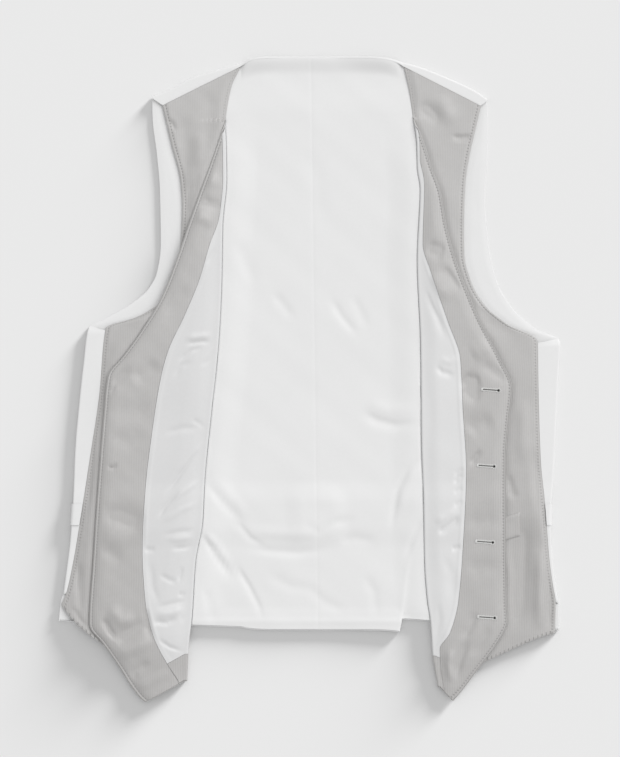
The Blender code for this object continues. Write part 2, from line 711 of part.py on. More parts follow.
shells, facings = {}, {}
for half, front, welt in (("left", left_front, LEFT_WELT), ("right", right_front, RIGHT_WELT)):
    shells[half] = front_shell(front, f"front_shell_{half}")
    front_lining(front, f"front_lining_{half}")
    facings[half] = front_facing(front, f"front_facing_{half}")
    hem_turnup(front, f"hem_turnup_{half}")
    pocket_welt(front, f"pocket_welt_{half}", welt)

buttonholes = add_cutter("buttonholes", keyhole_prisms(left_front))
cut(shells["left"], buttonholes)
cut(facings["left"], buttonholes)
for number, drop in enumerate(BUTTON_DROPS, start=1):
    button(f"button_{number}", right_front, drop)
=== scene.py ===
"""The cloth, thread and light of a suit waistcoat laid open on its back.

Lengths are in millimetres until MM turns them into metres in the meshes. +X is the wearer's
left, +Y runs up to the neck and z = 0 is the surface that the garment lies on. A place on the
garment is a drop (how far below the nape level) and an out (how far from the centre line,
towards that piece's own side).
"""

import math

import bmesh
import bpy
import numpy as np
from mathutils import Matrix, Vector


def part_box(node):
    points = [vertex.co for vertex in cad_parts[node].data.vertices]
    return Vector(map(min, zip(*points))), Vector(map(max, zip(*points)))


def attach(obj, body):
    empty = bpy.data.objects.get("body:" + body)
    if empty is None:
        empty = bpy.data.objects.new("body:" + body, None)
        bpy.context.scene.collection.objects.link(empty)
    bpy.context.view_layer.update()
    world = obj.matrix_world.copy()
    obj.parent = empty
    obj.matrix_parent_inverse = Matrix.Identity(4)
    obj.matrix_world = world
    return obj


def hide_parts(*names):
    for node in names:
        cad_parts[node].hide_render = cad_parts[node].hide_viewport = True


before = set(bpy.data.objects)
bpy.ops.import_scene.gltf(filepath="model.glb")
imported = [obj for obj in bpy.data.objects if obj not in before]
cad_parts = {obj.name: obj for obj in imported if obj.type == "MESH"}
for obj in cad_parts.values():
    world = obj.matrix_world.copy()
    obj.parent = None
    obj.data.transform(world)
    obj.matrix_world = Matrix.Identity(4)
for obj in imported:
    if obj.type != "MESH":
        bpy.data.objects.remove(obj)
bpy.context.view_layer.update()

MM = 0.001
NAPE_DROP, POINT_DROP = 2.0, 664.5  # the back neck edge and the points of the fronts
CENTRE_DROP = (NAPE_DROP + POINT_DROP) / 2

# The stack of layers, as the solids have it.
WALL = 1.0
GAP = 0.3
LAYER = WALL + GAP
BACK_SHELL_Z = WALL / 2
BACK_LINING_Z = BACK_SHELL_Z + LAYER
FRONT_SHELL_Z = BACK_SHELL_Z + 3 * LAYER
ROLL = (FRONT_SHELL_Z - BACK_SHELL_Z) / 2
ROLL_OUT = ROLL + WALL / 2
RIGHT_RADIUS, LEFT_RADIUS = 1.6, 0.9  # of the folds; the buttons lie under the right one's
LEAST_LINING = 0.6
SEAM_SHARE = 0.4  # where the facing's seam crosses the turned part, for its drop in a row
CURLED_LINING = 0.8  # of a row that only curls up, how far its lining reaches
LEAST_BEND = 0.15  # of the full bend, where a front only starts to fold back
BEND_APPROACH = 8.0
LEAST_TURNED = 1.2  # a facing starts where this much cloth lies past the bend
LINING_INSET = 0.95
NECK_CURVE = 8  # how squarely the back neck edge turns down at the neck points

SATIN_THICK = 0.5
SUITING_THICK = 0.8
EDGE_ROLL = LAYER / 2  # a shell's edge rolls over to the cloth behind it
ROW_PITCH = 2.1
WELD = 0.02  # points this near are one
SHARP_ANGLE = math.radians(50)  # past this the cloth has a cut edge
SQUARE_ROLL = 0.6  # 1 rolls cloth in a half circle, less presses it flatter
SEAM_GAP = 0.03  # between two sheets sewn edge to edge

# Strap, in drops: it lies under the back and lifts all the cloth above it.
STRAP_TOP, STRAP_BOTTOM, STRAP_RAMP = 460.0, 484.0, 24.0
STRAP_WIDTH = 22.0
STRAP_LIFT = LAYER
BUCKLE_LIFT = 1.5
BUCKLE_REACH, BUCKLE_SPREAD = 14.0, 35.0
BUCKLE_THICK = 1.2
BUCKLE_OUTS = (2.0, 6.3, 11.2, 15.0)  # where a strap half ends, passes over its bar and lies flat
STRAP_INSET = 1.0
STRAP_ROWS, STRAP_COLUMNS, STRAP_TURN_STEPS, STRAP_END_COLUMNS = 8, 30, 10, 4

BUTTON_DROPS = (344.5, 422.5, 500.5, 578.0)
HOLE_LENGTH, HOLE_SLIT, HOLE_EYE = 17.0, 0.8, 1.3
HOLE_OUTS = (194.0, 189.5, 188.0, 190.0)
HOLE_TILT = math.radians(-4)
EYE_STEPS, EDGE_STITCHES = 12, 24
TWIST_RADIUS, TWIST_LIFT, TWIST_START, TWIST_END, TWIST_LENGTH = 0.36, 0.05, 0.05, 1.5, 1.6
BAR_HALF, BAR_SPREAD, BAR_STITCHES, BAR_LIFT = 1.7, 0.7, 3, 0.25  # the bar tack at its inner end
CUT_BELOW, CUT_DEPTH = 2.4, 4.0
# The two threads across a button: their length and radius, and how far aside and up they lie.
BUTTON_THREAD, BUTTON_THREAD_PLACE = (3.4, 0.3), (1.1, 1.0)

CENTRE_SEAM = ((0.0, 1.5), (478.0, 7.5), (593.0, 9.0))

# Each front has four lines, as (drop, out): the armhole and side seam, the V edge that becomes
# the fold, the turned front edge, and the seam of the facing on the turned part.
RIGHT_FRONT = {
    "side": (
        (51.5, 151), (91.5, 141.5), (127.5, 132.5), (153.5, 130.5), (184.5, 131.5),
        (212, 135.5), (234, 142.5), (254.5, 154), (263.5, 166.5), (270, 179.5),
        (280.5, 209.5), (349, 216), (416, 226), (484, 236.5), (524.5, 243.5),
        (553, 250), (564.5, 255),
    ),
    "fold": (
        (12, 71.5), (30, 80), (53.5, 85), (67, 86.5), (91.5, 85.5), (127.5, 85), (174, 89),
        (230.5, 90), (292.5, 93), (375, 101.5), (436.5, 107.5), (478, 109.5), (521, 117),
        (576, 120.5), (615, 124.5), (642.5, 125.5),
    ),
    "edge": (
        (67, 86.5), (86.5, 93), (119.5, 104.5), (143, 113), (177, 125), (208, 135.5),
        (249.5, 152), (286.5, 174.5), (308, 190), (330.5, 207), (375, 211.5), (457.5, 218),
        (519, 222), (584, 226), (588, 225), (603.5, 212.5), (629.5, 195), (646, 185),
        (660, 174.5), (664.5, 169.5),
    ),
    "facing": (
        (67, 87), (102, 87.5), (125.5, 88), (167, 93), (194.5, 102.5), (230.5, 113),
        (267, 128), (305, 145.5), (333.5, 153), (390.5, 162), (447, 168.5), (509, 171.5),
        (560.5, 168.5), (591, 162), (626, 147), (649, 135),
    ),
}
LEFT_FRONT = {
    "side": (
        (52, 176), (76, 170.5), (102, 164.5), (133, 160), (179, 158.5), (205, 159),
        (234, 166.5), (256.5, 179.5), (277, 203.5), (293.5, 234.5), (333.5, 235),
        (416, 237.5), (457.5, 241.5), (519, 246.5), (545, 250), (563.5, 253), (593.5, 252),
    ),
    "fold": (
        (12, 97.5), (35, 102.5), (64, 106.5), (91.5, 110), (115.5, 110.5), (138, 113.5),
        (210, 110.5), (297.5, 114), (395.5, 115), (457.5, 117), (519, 118), (560.5, 121),
        (581, 124), (617, 126.5), (649, 131.5),
    ),
    "edge": (
        (64, 106.5), (83.5, 115), (119.5, 127), (140, 134.5), (174, 140.5), (210, 150),
        (246, 163.5), (274, 175.5), (313, 196), (342, 208), (375, 204.5), (416, 201.5),
        (488, 201.5), (560.5, 202.5), (582, 203.5), (586, 202.5), (606.5, 191),
        (630.5, 173.5), (653, 157), (663.5, 148),
    ),
    "facing": (
        (64, 106.5), (102, 112), (133, 118), (194.5, 116.5), (220.5, 124), (272, 141.5),
        (313, 155), (364.5, 157.5), (426.5, 161), (498.5, 158), (560.5, 153),
        (593.5, 144.5), (614, 134), (634.5, 135), (653, 138.5),
    ),
}

# Levels of a front from the shoulder down: drops at the side, the fold and the front edge, and
# how far the row sags between side and fold.
LEVEL_COLUMNS = ("name", "side", "fold", "edge", "sag")
RIGHT_LEVELS = (
    ("shoulder", 51.5, 12.0, 12.0, 0.0),
    ("break", 88.5, 67.0, 67.0, 0.0),
    ("turned", 104.0, 89.0, 89.0, 0.0),
    ("armhole", 200.0, 200.0, 200.0, 0.0),
    ("underarm", 280.5, 287.5, 287.5, 0.0),
    ("corner", 330.0, 331.5, 331.5, 0.0),
    ("ramp top", 436.0, 436.0, 436.0, 0.0),
    ("strap top", 460.0, 460.0, 460.0, 0.0),
    ("strap bottom", 484.0, 484.0, 484.0, 0.0),
    ("ramp bottom", 508.0, 508.0, 508.0, 0.0),
    ("vent", 553.0, 586.0, 586.0, 4.0),
    ("lining hem", 560.5, 615.0, 646.0, 10.0),
    ("hem", 564.5, 642.5, 664.5, 14.0),
)
LEFT_LEVELS = (
    ("shoulder", 52.0, 12.0, 12.0, 0.0),
    ("break", 86.5, 64.0, 64.0, 0.0),
    ("turned", 100.0, 83.0, 83.0, 0.0),
    ("armhole", 205.0, 205.0, 205.0, 0.0),
    ("underarm", 293.5, 297.5, 297.5, 0.0),
    ("corner", 341.0, 342.0, 342.0, 0.0),
    ("ramp top", 436.0, 436.0, 436.0, 0.0),
    ("strap top", 460.0, 460.0, 460.0, 0.0),
    ("strap bottom", 484.0, 484.0, 484.0, 0.0),
    ("ramp bottom", 508.0, 508.0, 508.0, 0.0),
    ("vent", 563.5, 584.0, 584.0, 0.0),
    ("lining hem", 582.0, 617.0, 634.5, -2.0),
    ("hem", 593.5, 649.0, 663.5, -4.0),
)

# The side and armhole line of each back half, the shoulder fold, and the column through the
# neck point, which on the left becomes the fold of a pleat below the strap.
RIGHT_BACK = {
    "outer": (
        (41.5, 162), (64, 161.5), (102, 157), (138, 154), (194.5, 153), (223.5, 157),
        (241, 166.5), (256.5, 185), (271, 210.5), (280.5, 228), (313, 232.5), (359.5, 237.5),
        (406, 241.5), (457.5, 243.5), (498.5, 246.5), (534.5, 251), (553, 253.5),
        (562.5, 256), (581.5, 258),
    ),
    "shoulder": ((71.5, 8), (94, 14.5), (118, 21.5), (149, 37), (162, 41.5)),
    "shoulder seam": ((71.5, 12), (151, 51.5)),
    "neck": ((0, 70), (593, 70)),
}
LEFT_BACK = {
    "outer": (
        (44.5, 183), (64, 183), (97, 183), (143, 180), (194.5, 184), (220.5, 189), (241, 196),
        (261.5, 209.5), (282, 233.5), (293.5, 258), (333.5, 256), (375, 254), (436.5, 251),
        (478, 248), (508, 249.5), (545, 253.5), (563.5, 256.5), (591, 257),
    ),
    "shoulder": ((95, 6.5), (113.5, 11.5), (141.5, 22.5), (170.5, 36), (183, 44.5)),
    "shoulder seam": ((97.5, 12), (176, 52)),
    "neck": ((6.5, 95), (200, 105), (436, 116), (478, 115), (518, 103.5), (576, 95.5), (593, 93)),
}

# Levels of a back half from the neck down: drops at the centre seam, at the neck column, just
# past the neck column and at the outer line.
BACK_COLUMNS = ("name", "centre", "neck", "past", "outer")
RIGHT_BACK_LEVELS = (
    ("neck edge", NAPE_DROP, 10.5, 10.5, 43.5),
    ("neck band", 9.0, 17.0, 17.0, 51.0),
    ("yoke", 17.0, 25.0, 25.0, 58.0),
    ("blade", 138.0, 138.0, 138.0, 138.0),
    ("armhole", 223.5, 223.5, 223.5, 223.5),
    ("underarm", 280.5, 280.5, 280.5, 280.5),
)
LEFT_BACK_LEVELS = (
    ("neck edge", NAPE_DROP, 9.0, 9.0, 46.5),
    ("neck band", 9.0, 16.0, 16.0, 54.0),
    ("yoke", 17.0, 24.0, 24.0, 61.0),
    ("blade", 138.0, 138.0, 138.0, 138.0),
    ("armhole", 220.5, 220.5, 220.5, 220.5),
    ("underarm", 293.5, 293.5, 293.5, 293.5),
)
# Below the vent the back lies flat to its hem.
RIGHT_BACK_HEM = (("below vent", 570.0, 568.0, 568.0, 562.5), ("hem", 591.0, 588.0, 588.0, 581.5))
LEFT_BACK_HEM = (("below vent", 571.0, 570.0, 566.0, 566.0), ("hem", 591.0, 593.0, 579.5, 591.0))
# Pocket welts: (out, drop of the top edge) at the front end and at the side end, and the height.
LEFT_WELT = {"front": (124.0, 497.0), "side": (216.5, 469.5), "height": 24.5}
RIGHT_WELT = {"front": (124.0, 506.5), "side": (209.0, 480.5), "height": 24.5}

# A back's columns: from the centre seam to the neck column, and past it.
NEAR_COLUMNS, FAR_COLUMNS = 52, 56
GATHER_STATIONS, GATHER_CLOSENESS = 400, 4
PAST_SHARE = 0.012  # the column just past the neck column, where the pleat steps up
ROLL_STEPS, EDGE_STEPS, BEND_STEPS = 12, 3, 14
LOW_COLUMNS, HIGH_COLUMNS = 46, 20
LINING_COLUMNS, HIDDEN_COLUMNS, FACING_COLUMNS = 44, 6, 16
# The last stretch of a row towards an edge, and how far apart its columns are there.
EDGE_FINE, LINING_FINE, SEAM_FINE, FACING_FINE = (9.0, 1.0), (8.0, 1.0), (6.0, 1.0), (9.0, 0.9)
CURLED_BEND = 0.7  # of a row that only curls up, how much of it bends

NECK_STAND, NECK_STAND_SIDES = 2.8, 2.6  # the neck edge stands up, more towards its ends
NECK_BAND = 17.0
PLEAT_STEP = 1.2
HEM_STITCH, HEM_STITCH_PITCH, HEM_STITCHED = 3.0, 4.3, 75.0  # the stitches across its edge
SCALLOP_PITCH, SCALLOP_DEPTH = 6.4, 2.0  # the outer hems draw in at their stitches
FOLD_FILL = 2.4  # how far the back's lining rises towards the folds
FOLD_REACH = 8.0
HEM_LOFT = 2.2  # how far the back's hem stands open
BACK_PUFF = 1.5
WELT_STAND, WELT_RIM, WELT_LENGTH, WELT_CLEAR, WELT_THICK = 1.5, 2.0, 92.0, 0.12, 0.2
# A hem turn-up's share of the width under the lining, its columns there and past the bend, and
# how far its edge lies in.
TURNUP_UNDER, TURNUP_COLUMNS, TURNUP_INSET = 0.3, (12, 8), 0.4

SETTLE = 2.8  # below the back's hem the fronts sink towards the surface
SETTLE_DROPS = (592.0, 645.0)
UNDERARM_DROP = 285.0

PICK_INSET, PICK_PITCH = 2.8, 3.2
PICK_LENGTH, PICK_RADIUS, HEM_RADIUS = 1.3, 0.22, 0.4
FIRST_STITCH = 0.5  # of a pitch in from the line's start
# A thread is a six-sided rod, with its rings as (share of its length, share of its radius).
THREAD_SIDES, THREAD_RINGS = 6, ((-0.5, 0.35), (-0.3, 0.95), (0.3, 0.95), (0.5, 0.35))

# Ridges along edges and seams, as (place, width, height); a trough is negative.
OUTER_BEAD, OUTER_SEWN = (1.2, 0.9, 0.2), (PICK_INSET, 1.0, -0.25)
FACING_BEAD, FACING_SEWN = (1.2, 0.9, 0.3), (PICK_INSET, 1.0, -0.3)
LINING_BEAD, ARMHOLE_BEAD = (3.0, 1.7, 0.45), (4.0, 1.6, 0.2)
CENTRE_SEWN, BACK_HEM_BEAD = (0.0, 1.5, -0.15), (582.0, 3.0, 0.5)

# Where a front's relief starts and is whole, measured in from an edge, a seam or the fold.
OUTER_FADE, V_FADE = (0.0, 6.0), (0.0, 9.0)
LIFT_RISES, LIFT_FALLS, LIFT_SIDE = (-7.0, -1.0), (2.0, 30.0), (0.0, 14.0)
PUFF_FADE, CREASE_FADE, FALL_FADE = (0.0, 14.0), (1.0, 9.0), (0.0, 8.0)
SHELL_SEAM_FADE, LINING_SEAM_FADE = (0.0, 8.0), (0.0, 4.0)
TURNED_FADE = 14.0
RISE_WIDTH, RISE_LOST = 30.0, 0.85  # a narrow turned part rises less, and least at the points
V_LAID = -0.7  # the V edge is pressed down
OUTER_LOWEST, LINING_LOWEST, BACK_LOWEST = -0.8, -0.3, -0.25

# Where a back's relief starts and is whole: in drops, outs, or past the fold or side.
STAND_SHARES, STAND_SQUARENESS, BAND_START = (0.25, 0.85), 12, 0.5
PLEAT_DROPS, PLEAT_OUTS, PLEAT_EDGE = (490.0, 560.0), (15.0, 90.0), 0.3
DIVE_START, DIVE_END = -0.8, 1.5  # the lining dives under at the fold
FILL_START, FILL_END, FILL_DROPS = -34.0, -6.0, (60.0, 110.0)
STRIP_START, STRIP_WHOLE = 2.0, 8.0
STRIP_LIFT, STRIP_CREASE = 0.4, 0.5
PUFF_TOP, PUFF_BOTTOM, LOFT_DROPS = (20.0, 60.0), (570.0, 592.0), (566.0, 590.0)

SUITING_DARK, SUITING_LIGHT = (0.41, 0.40, 0.392), (0.52, 0.512, 0.505)
# SUITING_SHADE is painted shade, laid into the stitch dimples.
SUITING_STRIPE, SUITING_SHADE = (0.59, 0.583, 0.577), (0.13, 0.127, 0.124)
STRIPE_SHARE, DIMPLE_SHADE_SHARE = 0.28, 0.34  # how strongly the stripes show, and how dark the painted shade in the stitch dimples is
LIGHTER_TO_NECK = 0.7  # per metre: darker towards the hem, partly the cloth's own tone and partly painted shade of light falling from above
STRIPE_DRIFT, DRIFT_SCALE = 0.004, 30.0
WEFT_SHARE, THREAD_CONTRAST, DIMPLE_POWER = 0.6, 0.33, 1.5
MOTTLE_SHARES = (0.65, 0.35)  # of the slow patches and of the slubs
SATIN_TONES = ((0.775, 0.775, 0.775), (0.82, 0.82, 0.82))
# The fronts' linings are the white satin painted darker as painted shade, the right front's
# darkest.
RIGHT_LINING_SHADED_TONES = ((0.66, 0.66, 0.662), (0.73, 0.73, 0.732))
LEFT_LINING_SHADED_TONES = ((0.70, 0.70, 0.702), (0.765, 0.765, 0.767))

GREY_THREAD = ((0.36, 0.355, 0.35), (0.22, 0.215, 0.21))
SILK_TWIST = ((0.80, 0.80, 0.79), (0.62, 0.62, 0.61))
BUTTON_TONES = ((0.26, 0.255, 0.25), (0.46, 0.45, 0.44))
STEEL_TONES = ((0.47, 0.47, 0.48), (0.63, 0.63, 0.64))

AMBIENT, FLOOR_TONE = 0.65, 0.815
# A light's strength, how wide it is, and its azimuth and elevation, in degrees.
KEY_LIGHT = (1.71, 50.0, 48.0, 40.0)
GROUND_LIGHT = (8.2, 15.0, 47.0, 7.8)  # low and only on the floor, for its long soft shadow
CAMERA_PLACE, CAMERA_HEIGHT = (0.5, 1.07), 3.0
FRAME_LENGTH = 0.7797  # what the long side of the picture spans on the garment
SENSOR_WIDTH, CLIP_END, FLOOR_HALF = 36.0, 20.0, 3.0  # the camera's in mm, then metres

# The pieces cut from the grey suiting.
GREY_CLOTHS = ("front_shell", "front_facing", "hem_turnup", "pocket_welt")

# Creases and drape, as (line, spread, height, lean): the line each follows as (drop, out) places,
# how far it spreads to the side and its height; a trough is negative. lean makes one flank
# steeper, as where cloth folds over.
# On the lining of the back: here out is towards the wearer's left.
BACK_CREASES = (
    (((491.4, -111.6), (499.7, -105.0), (511.3, -96.7), (529.5, -85.1),
     (542.8, -76.8)), 3.2, -1.5, 0.2),
    (((489.7, -106.7), (506.3, -95.0), (526.2, -81.8)), 3.2, 1.4, 0),
    (((439.9, -105.0), (456.5, -91.7), (470.5, -78.4), (484.7, -65.2)), 4, -1, 0),
    (((433.3, -98.4), (453.2, -81.8), (476.4, -61.9)), 6, 0.77, 0),
    (((476.4, -78.4), (484.7, -70.2), (496.3, -60.2), (504.6, -45.3)), 3.2, -0.96, 0.2),
    (((519.6, -78.4), (546.1, -61.9), (566.0, -51.9), (581.0, -47.9)), 3.2, -1.1, 0.2),
    (((506.3, -65.2), (509.6, -38.6), (511.3, -12.1), (508.0, 21.1)), 5, -1.2, 0),
    (((489.7, -65.2), (491.4, -38.6), (493.0, -12.1), (489.7, 17.8)), 6, 0.99, 0),
    (((546.1, -108.3), (562.7, -103.3), (587.6, -98.4)), 3.2, -0.88, 0),
    (((532.9, -45.3), (546.1, -18.7), (549.5, 11.2)), 6, -0.66, 0),
    (((366.9, 53.3), (375.2, 69.9), (380.2, 89.8), (376.9, 112.4)), 5, -1.3, 0.2),
    (((357.0, 56.6), (365.2, 79.8), (363.6, 112.4)), 7, 0.77, 0),
    (((411.7, 114.7), (426.7, 101.4), (446.6, 91.4), (473.1, 86.5), (493.0, 84.5)), 3.2, -1.1, 0.2),
    (((420.7, 113.7), (433.3, 104.7), (449.9, 96.4), (476.4, 91.8)), 5, 0.88, 0),
    (((476.4, 116.3), (488.1, 110.4), (501.3, 104.7), (519.6, 99.1)), 3.2, -0.96, 0.2),
    (((483.1, -6.5), (489.7, 10.1), (479.8, 26.7), (476.4, 50.0)), 5, -0.88, 0),
    (((499.7, 30.0), (496.3, 46.6), (499.7, 69.9)), 5, -0.77, 0),
    (((546.1, -3.1), (562.7, 16.8), (572.7, 40.0)), 6, -0.77, 0),
    (((532.9, 56.6), (552.8, 66.6), (579.3, 68.2)), 5, -0.66, 0),
    (((189.3, -75.1), (215.8, -65.2), (239.1, -55.2)), 7, -0.66, 0),
    (((242.4, -38.6), (259.0, -25.3), (272.3, -15.4)), 5, -0.77, 0),
    (((249.0, 21.7), (268.9, 33.4), (288.9, 50.0)), 4, -0.88, 0),
    (((245.7, 43.3), (265.6, 53.3), (282.2, 59.9)), 5, -0.66, 0),
    (((93.0, 0.2), (149.5, 10.1), (169.4, 15.1)), 9, -0.55, 0),
)
# On the right front's lining.
RIGHT_LINING_CREASES = (
    (((374.2, 121.6), (378.5, 113.3), (384.2, 105.0)), 2.2, -1, 0.2),
    (((388.5, 149.8), (383.5, 131.6), (382.8, 111.6)), 3, -0.87, 0),
    (((475.8, 155.4), (463.8, 147.5), (455.9, 140.8), (445.9, 131.6)), 2.2, -1.4, 0.3),
    (((449.9, 147.5), (437.3, 136.5), (422.0, 126.6), (404.1, 114.3)), 2.2, -1.4, 0.2),
    (((457.2, 143.2), (446.6, 126.6), (433.3, 107.7)), 2.6, 1, 0),
    (((430.0, 135.5), (412.7, 121.6), (394.1, 106.7)), 2.2, 1, 0),
    (((479.8, 151.5), (467.1, 131.6), (458.2, 110.0)), 3, 0.85, 0),
    (((493.7, 151.5), (489.7, 134.2), (488.1, 114.3)), 2.2, -1, 0.2),
    (((507.0, 142.2), (506.3, 128.2), (502.3, 115.0)), 2.2, -1.4, 0.3),
    (((498.0, 144.8), (496.3, 128.2), (494.7, 114.3)), 2.4, 1.1, 0),
    (((506.3, 170.7), (508.0, 164.7), (507.6, 157.4)), 2.2, -1.2, 0),
    (((533.5, 154.1), (538.8, 144.8), (542.1, 135.5)), 2.2, -1.2, 0.2),
    (((525.6, 130.2), (532.9, 132.2), (540.8, 134.9)), 2.2, -1.2, 0),
    (((553.4, 135.5), (554.1, 130.9), (552.8, 126.2)), 2.2, -1.4, 0),
    (((567.7, 157.4), (563.4, 139.8), (559.4, 124.2)), 2.2, -1.2, 0.2),
    (((582.0, 161.4), (583.3, 146.5), (577.7, 134.2)), 2.6, -1.9, 0.2),
    (((574.3, 159.4), (572.7, 141.5), (567.7, 126.6)), 3.2, 1.4, 0),
    (((581.0, 132.9), (577.7, 127.6), (573.3, 121.6)), 2.2, -1, 0),
    (((599.2, 156.4), (608.5, 143.2), (613.2, 126.6)), 2.2, -1.1, 0.2),
    (((519.6, 163.1), (546.1, 160.8), (566.0, 154.1)), 3.5, -0.87, 0),
    (((297.2, 126.6), (294.8, 111.6), (294.8, 100.0)), 2.2, -1.4, 0.3),
    (((290.5, 128.2), (289.5, 113.3), (287.2, 98.4)), 3, 1.1, 0),
    (((315.4, 134.9), (303.8, 121.6), (300.5, 108.3)), 2.2, -1, 0.2),
    (((332.0, 139.8), (318.7, 131.6), (315.4, 118.3)), 2.6, -0.74, 0),
    (((318.7, 111.6), (312.1, 101.7), (302.1, 96.7)), 2.4, -0.74, 0),
    (((215.8, 108.3), (209.2, 103.3), (195.9, 93.4)), 2.6, -0.74, 0),
)
# On the left front's lining.
LEFT_LINING_CREASES = (
    (((490.4, 131.3), (485.7, 140.2), (479.8, 147.9), (473.1, 153.5)), 3.2, -2.8, 0.2),
    (((479.8, 128.0), (474.8, 139.6), (464.8, 152.8)), 4, 1.2, 0),
    (((507.6, 145.5), (505.6, 151.2), (505.0, 156.8)), 2.2, -1.4, 0.2),
    (((440.6, 148.2), (433.3, 152.2), (430.0, 159.5)), 2.2, -1.2, 0.2),
    (((432.0, 148.9), (428.0, 152.8), (425.3, 160.1)), 2.2, -0.86, 0),
    (((449.9, 147.9), (446.6, 152.8), (445.9, 158.8)), 2.2, -0.72, 0),
    (((463.2, 147.9), (459.8, 152.8), (459.2, 158.2)), 2.2, -0.72, 0),
    (((532.9, 117.7), (562.7, 121.3), (592.6, 125.6)), 2.6, -1, 0),
    (((562.7, 131.3), (579.3, 132.9), (595.9, 129.6), (609.2, 127.0)), 3.2, -1, 0),
    (((340.4, 121.3), (373.5, 123.0), (410.1, 121.3)), 6, -0.55, 0),
    (((512.9, 136.2), (532.9, 146.2), (559.4, 146.2)), 5, -0.66, 0),
    (((235.8, 116.3), (252.4, 123.0), (272.3, 132.9), (292.2, 139.6)), 3.4, -1.2, 0.2),
    (((318.7, 129.6), (325.4, 136.2), (328.7, 149.5)), 3, -1.3, 0.2),
    (((312.1, 132.9), (315.4, 144.5), (310.4, 152.8)), 3, 0.74, 0),
)
# On the right facing.
RIGHT_FACING_CREASES = (
    (((149.5, 118.3), (153.4, 105.0), (155.4, 91.7), (151.1, 86.7)), 5, -3.3, 0.2),
    (((164.4, 118.3), (169.4, 105.0), (174.4, 96.7)), 6, 2, 0),
    (((129.6, 111.6), (129.6, 98.4), (132.9, 86.7)), 7, 1.8, 0),
    (((342.0, 202.9), (328.7, 191.3), (322.1, 181.3)), 6, -1.8, 0),
    (((335.3, 181.3), (325.4, 168.1), (315.4, 154.1)), 8, -2.2, 0),
    (((265.6, 151.5), (249.0, 138.2), (239.1, 121.6)), 9, -1.3, 0),
    (((340.4, 209.5), (345.3, 202.9), (338.7, 197.9)), 2, -1.7, 0.2),
    (((363.6, 206.2), (366.9, 184.7), (360.3, 161.4)), 10, -1.4, 0),
    (((422.7, 207.9), (424.0, 201.9), (420.7, 196.3)), 1.8, -1.8, 0.2),
    (((390.1, 206.2), (396.8, 184.7), (390.1, 164.7)), 9, -1.1, 0),
    (((473.1, 214.5), (473.1, 197.9), (479.8, 181.3), (489.7, 172.0)), 10, -3, 0.1),
    (((506.3, 214.5), (512.9, 202.9), (520.2, 190.6)), 7, -1.2, 0.1),
    (((489.7, 211.2), (496.3, 197.9), (503.0, 186.3)), 8, 1, 0),
    (((577.7, 212.9), (590.9, 206.2), (600.9, 199.6)), 3.2, -3.1, 0.3),
    (((602.6, 199.6), (592.6, 183.0), (581.0, 164.7)), 6, -3.3, 0.2),
    (((566.0, 206.2), (581.0, 193.0), (577.7, 178.0)), 6, 2.4, 0),
    (((615.8, 197.9), (609.2, 178.0), (599.2, 161.4)), 6, 2.2, 0),
    (((642.4, 184.7), (632.4, 178.0), (622.5, 163.1)), 4, -2.2, 0.2),
    (((652.3, 178.0), (642.4, 161.4), (632.4, 144.8)), 5, 1.5, 0),
    (((566.0, 168.1), (589.3, 165.4), (602.6, 160.8)), 4, -1.9, 0),
)
# On the left facing.
LEFT_FACING_CREASES = (
    (((195.9, 119.7), (199.3, 129.6), (202.6, 139.6)), 7, -2.9, 0.2),
    (((215.8, 136.2), (229.1, 146.2), (242.4, 156.2)), 5, -2, 0.2),
    (((222.5, 123.0), (239.1, 132.9), (252.4, 146.2)), 7, 1.7, 0),
    (((328.7, 157.8), (335.3, 166.1), (332.0, 176.1)), 7, -3.3, 0.2),
    (((315.4, 176.1), (325.4, 189.4), (335.3, 202.6)), 6, -1.8, 0),
    (((308.8, 166.1), (302.1, 179.4), (295.5, 189.4)), 8, 1.8, 0),
    (((340.4, 159.5), (348.7, 166.1), (353.6, 176.1)), 7, -2.4, 0),
    (((388.5, 162.8), (380.2, 171.1), (373.5, 189.4)), 9, -2.1, 0),
    (((420.7, 164.5), (413.4, 169.4), (405.1, 176.1)), 3, -1.8, 0.2),
    (((476.4, 161.1), (479.8, 176.1), (476.4, 196.0)), 9, -1.4, 0),
    (((529.5, 161.1), (524.6, 179.4), (527.9, 199.3)), 9, -1.4, 0),
    (((571.0, 171.1), (586.0, 166.1), (602.6, 156.2)), 5, -1.8, 0.2),
    (((615.8, 135.6), (632.4, 132.3), (649.0, 136.2)), 4, -3.1, 0.3),
    (((609.2, 146.2), (625.8, 142.9), (645.7, 146.2)), 4, 2.4, 0),
    (((599.2, 162.8), (619.1, 156.2), (642.4, 149.5)), 5, -2.2, 0.2),
    (((586.0, 186.0), (605.9, 176.1), (619.1, 166.1)), 5, -1.5, 0),
)
# On the left front's outer face.
LEFT_OUTER_CREASES = (
    (((395.0, 236.0), (480.0, 238.0), (590.0, 238.0)), 15, 3.0, 0),
    (((53.2, 109.7), (54.9, 119.7), (63.2, 129.6), (69.8, 136.2)), 7, -2.2, 0),
    (((39.9, 132.9), (56.5, 139.6), (69.8, 149.5)), 8, 1.7, 0),
    (((83.1, 146.2), (84.7, 156.2), (83.1, 167.8)), 3, -1.9, 0.2),
    (((255.7, 169.4), (275.6, 189.4), (288.9, 215.9)), 8, -1.3, 0),
    (((353.6, 219.2), (386.8, 219.9), (423.3, 219.2)), 7, 2, 0),
    (((430.0, 202.6), (443.2, 206.6), (456.5, 211.9)), 3.5, -2.9, 0.2),
    (((400.1, 232.5), (443.2, 234.2), (476.4, 237.5)), 5, -2.2, 0),
    (((473.1, 219.0), (519.6, 217.0), (566.0, 213.0), (595.9, 211.0)), 10, -3.6, 0.1),
    (((512.9, 204.0), (546.1, 203.5), (586.0, 203.0)), 6, 2.4, 0),
    (((506.3, 237.5), (546.1, 236.5), (592.6, 235.8)), 5, 2.6, 0),
    (((519.6, 246.4), (552.8, 247.1), (592.6, 247.4)), 5, -3.3, 0),
)
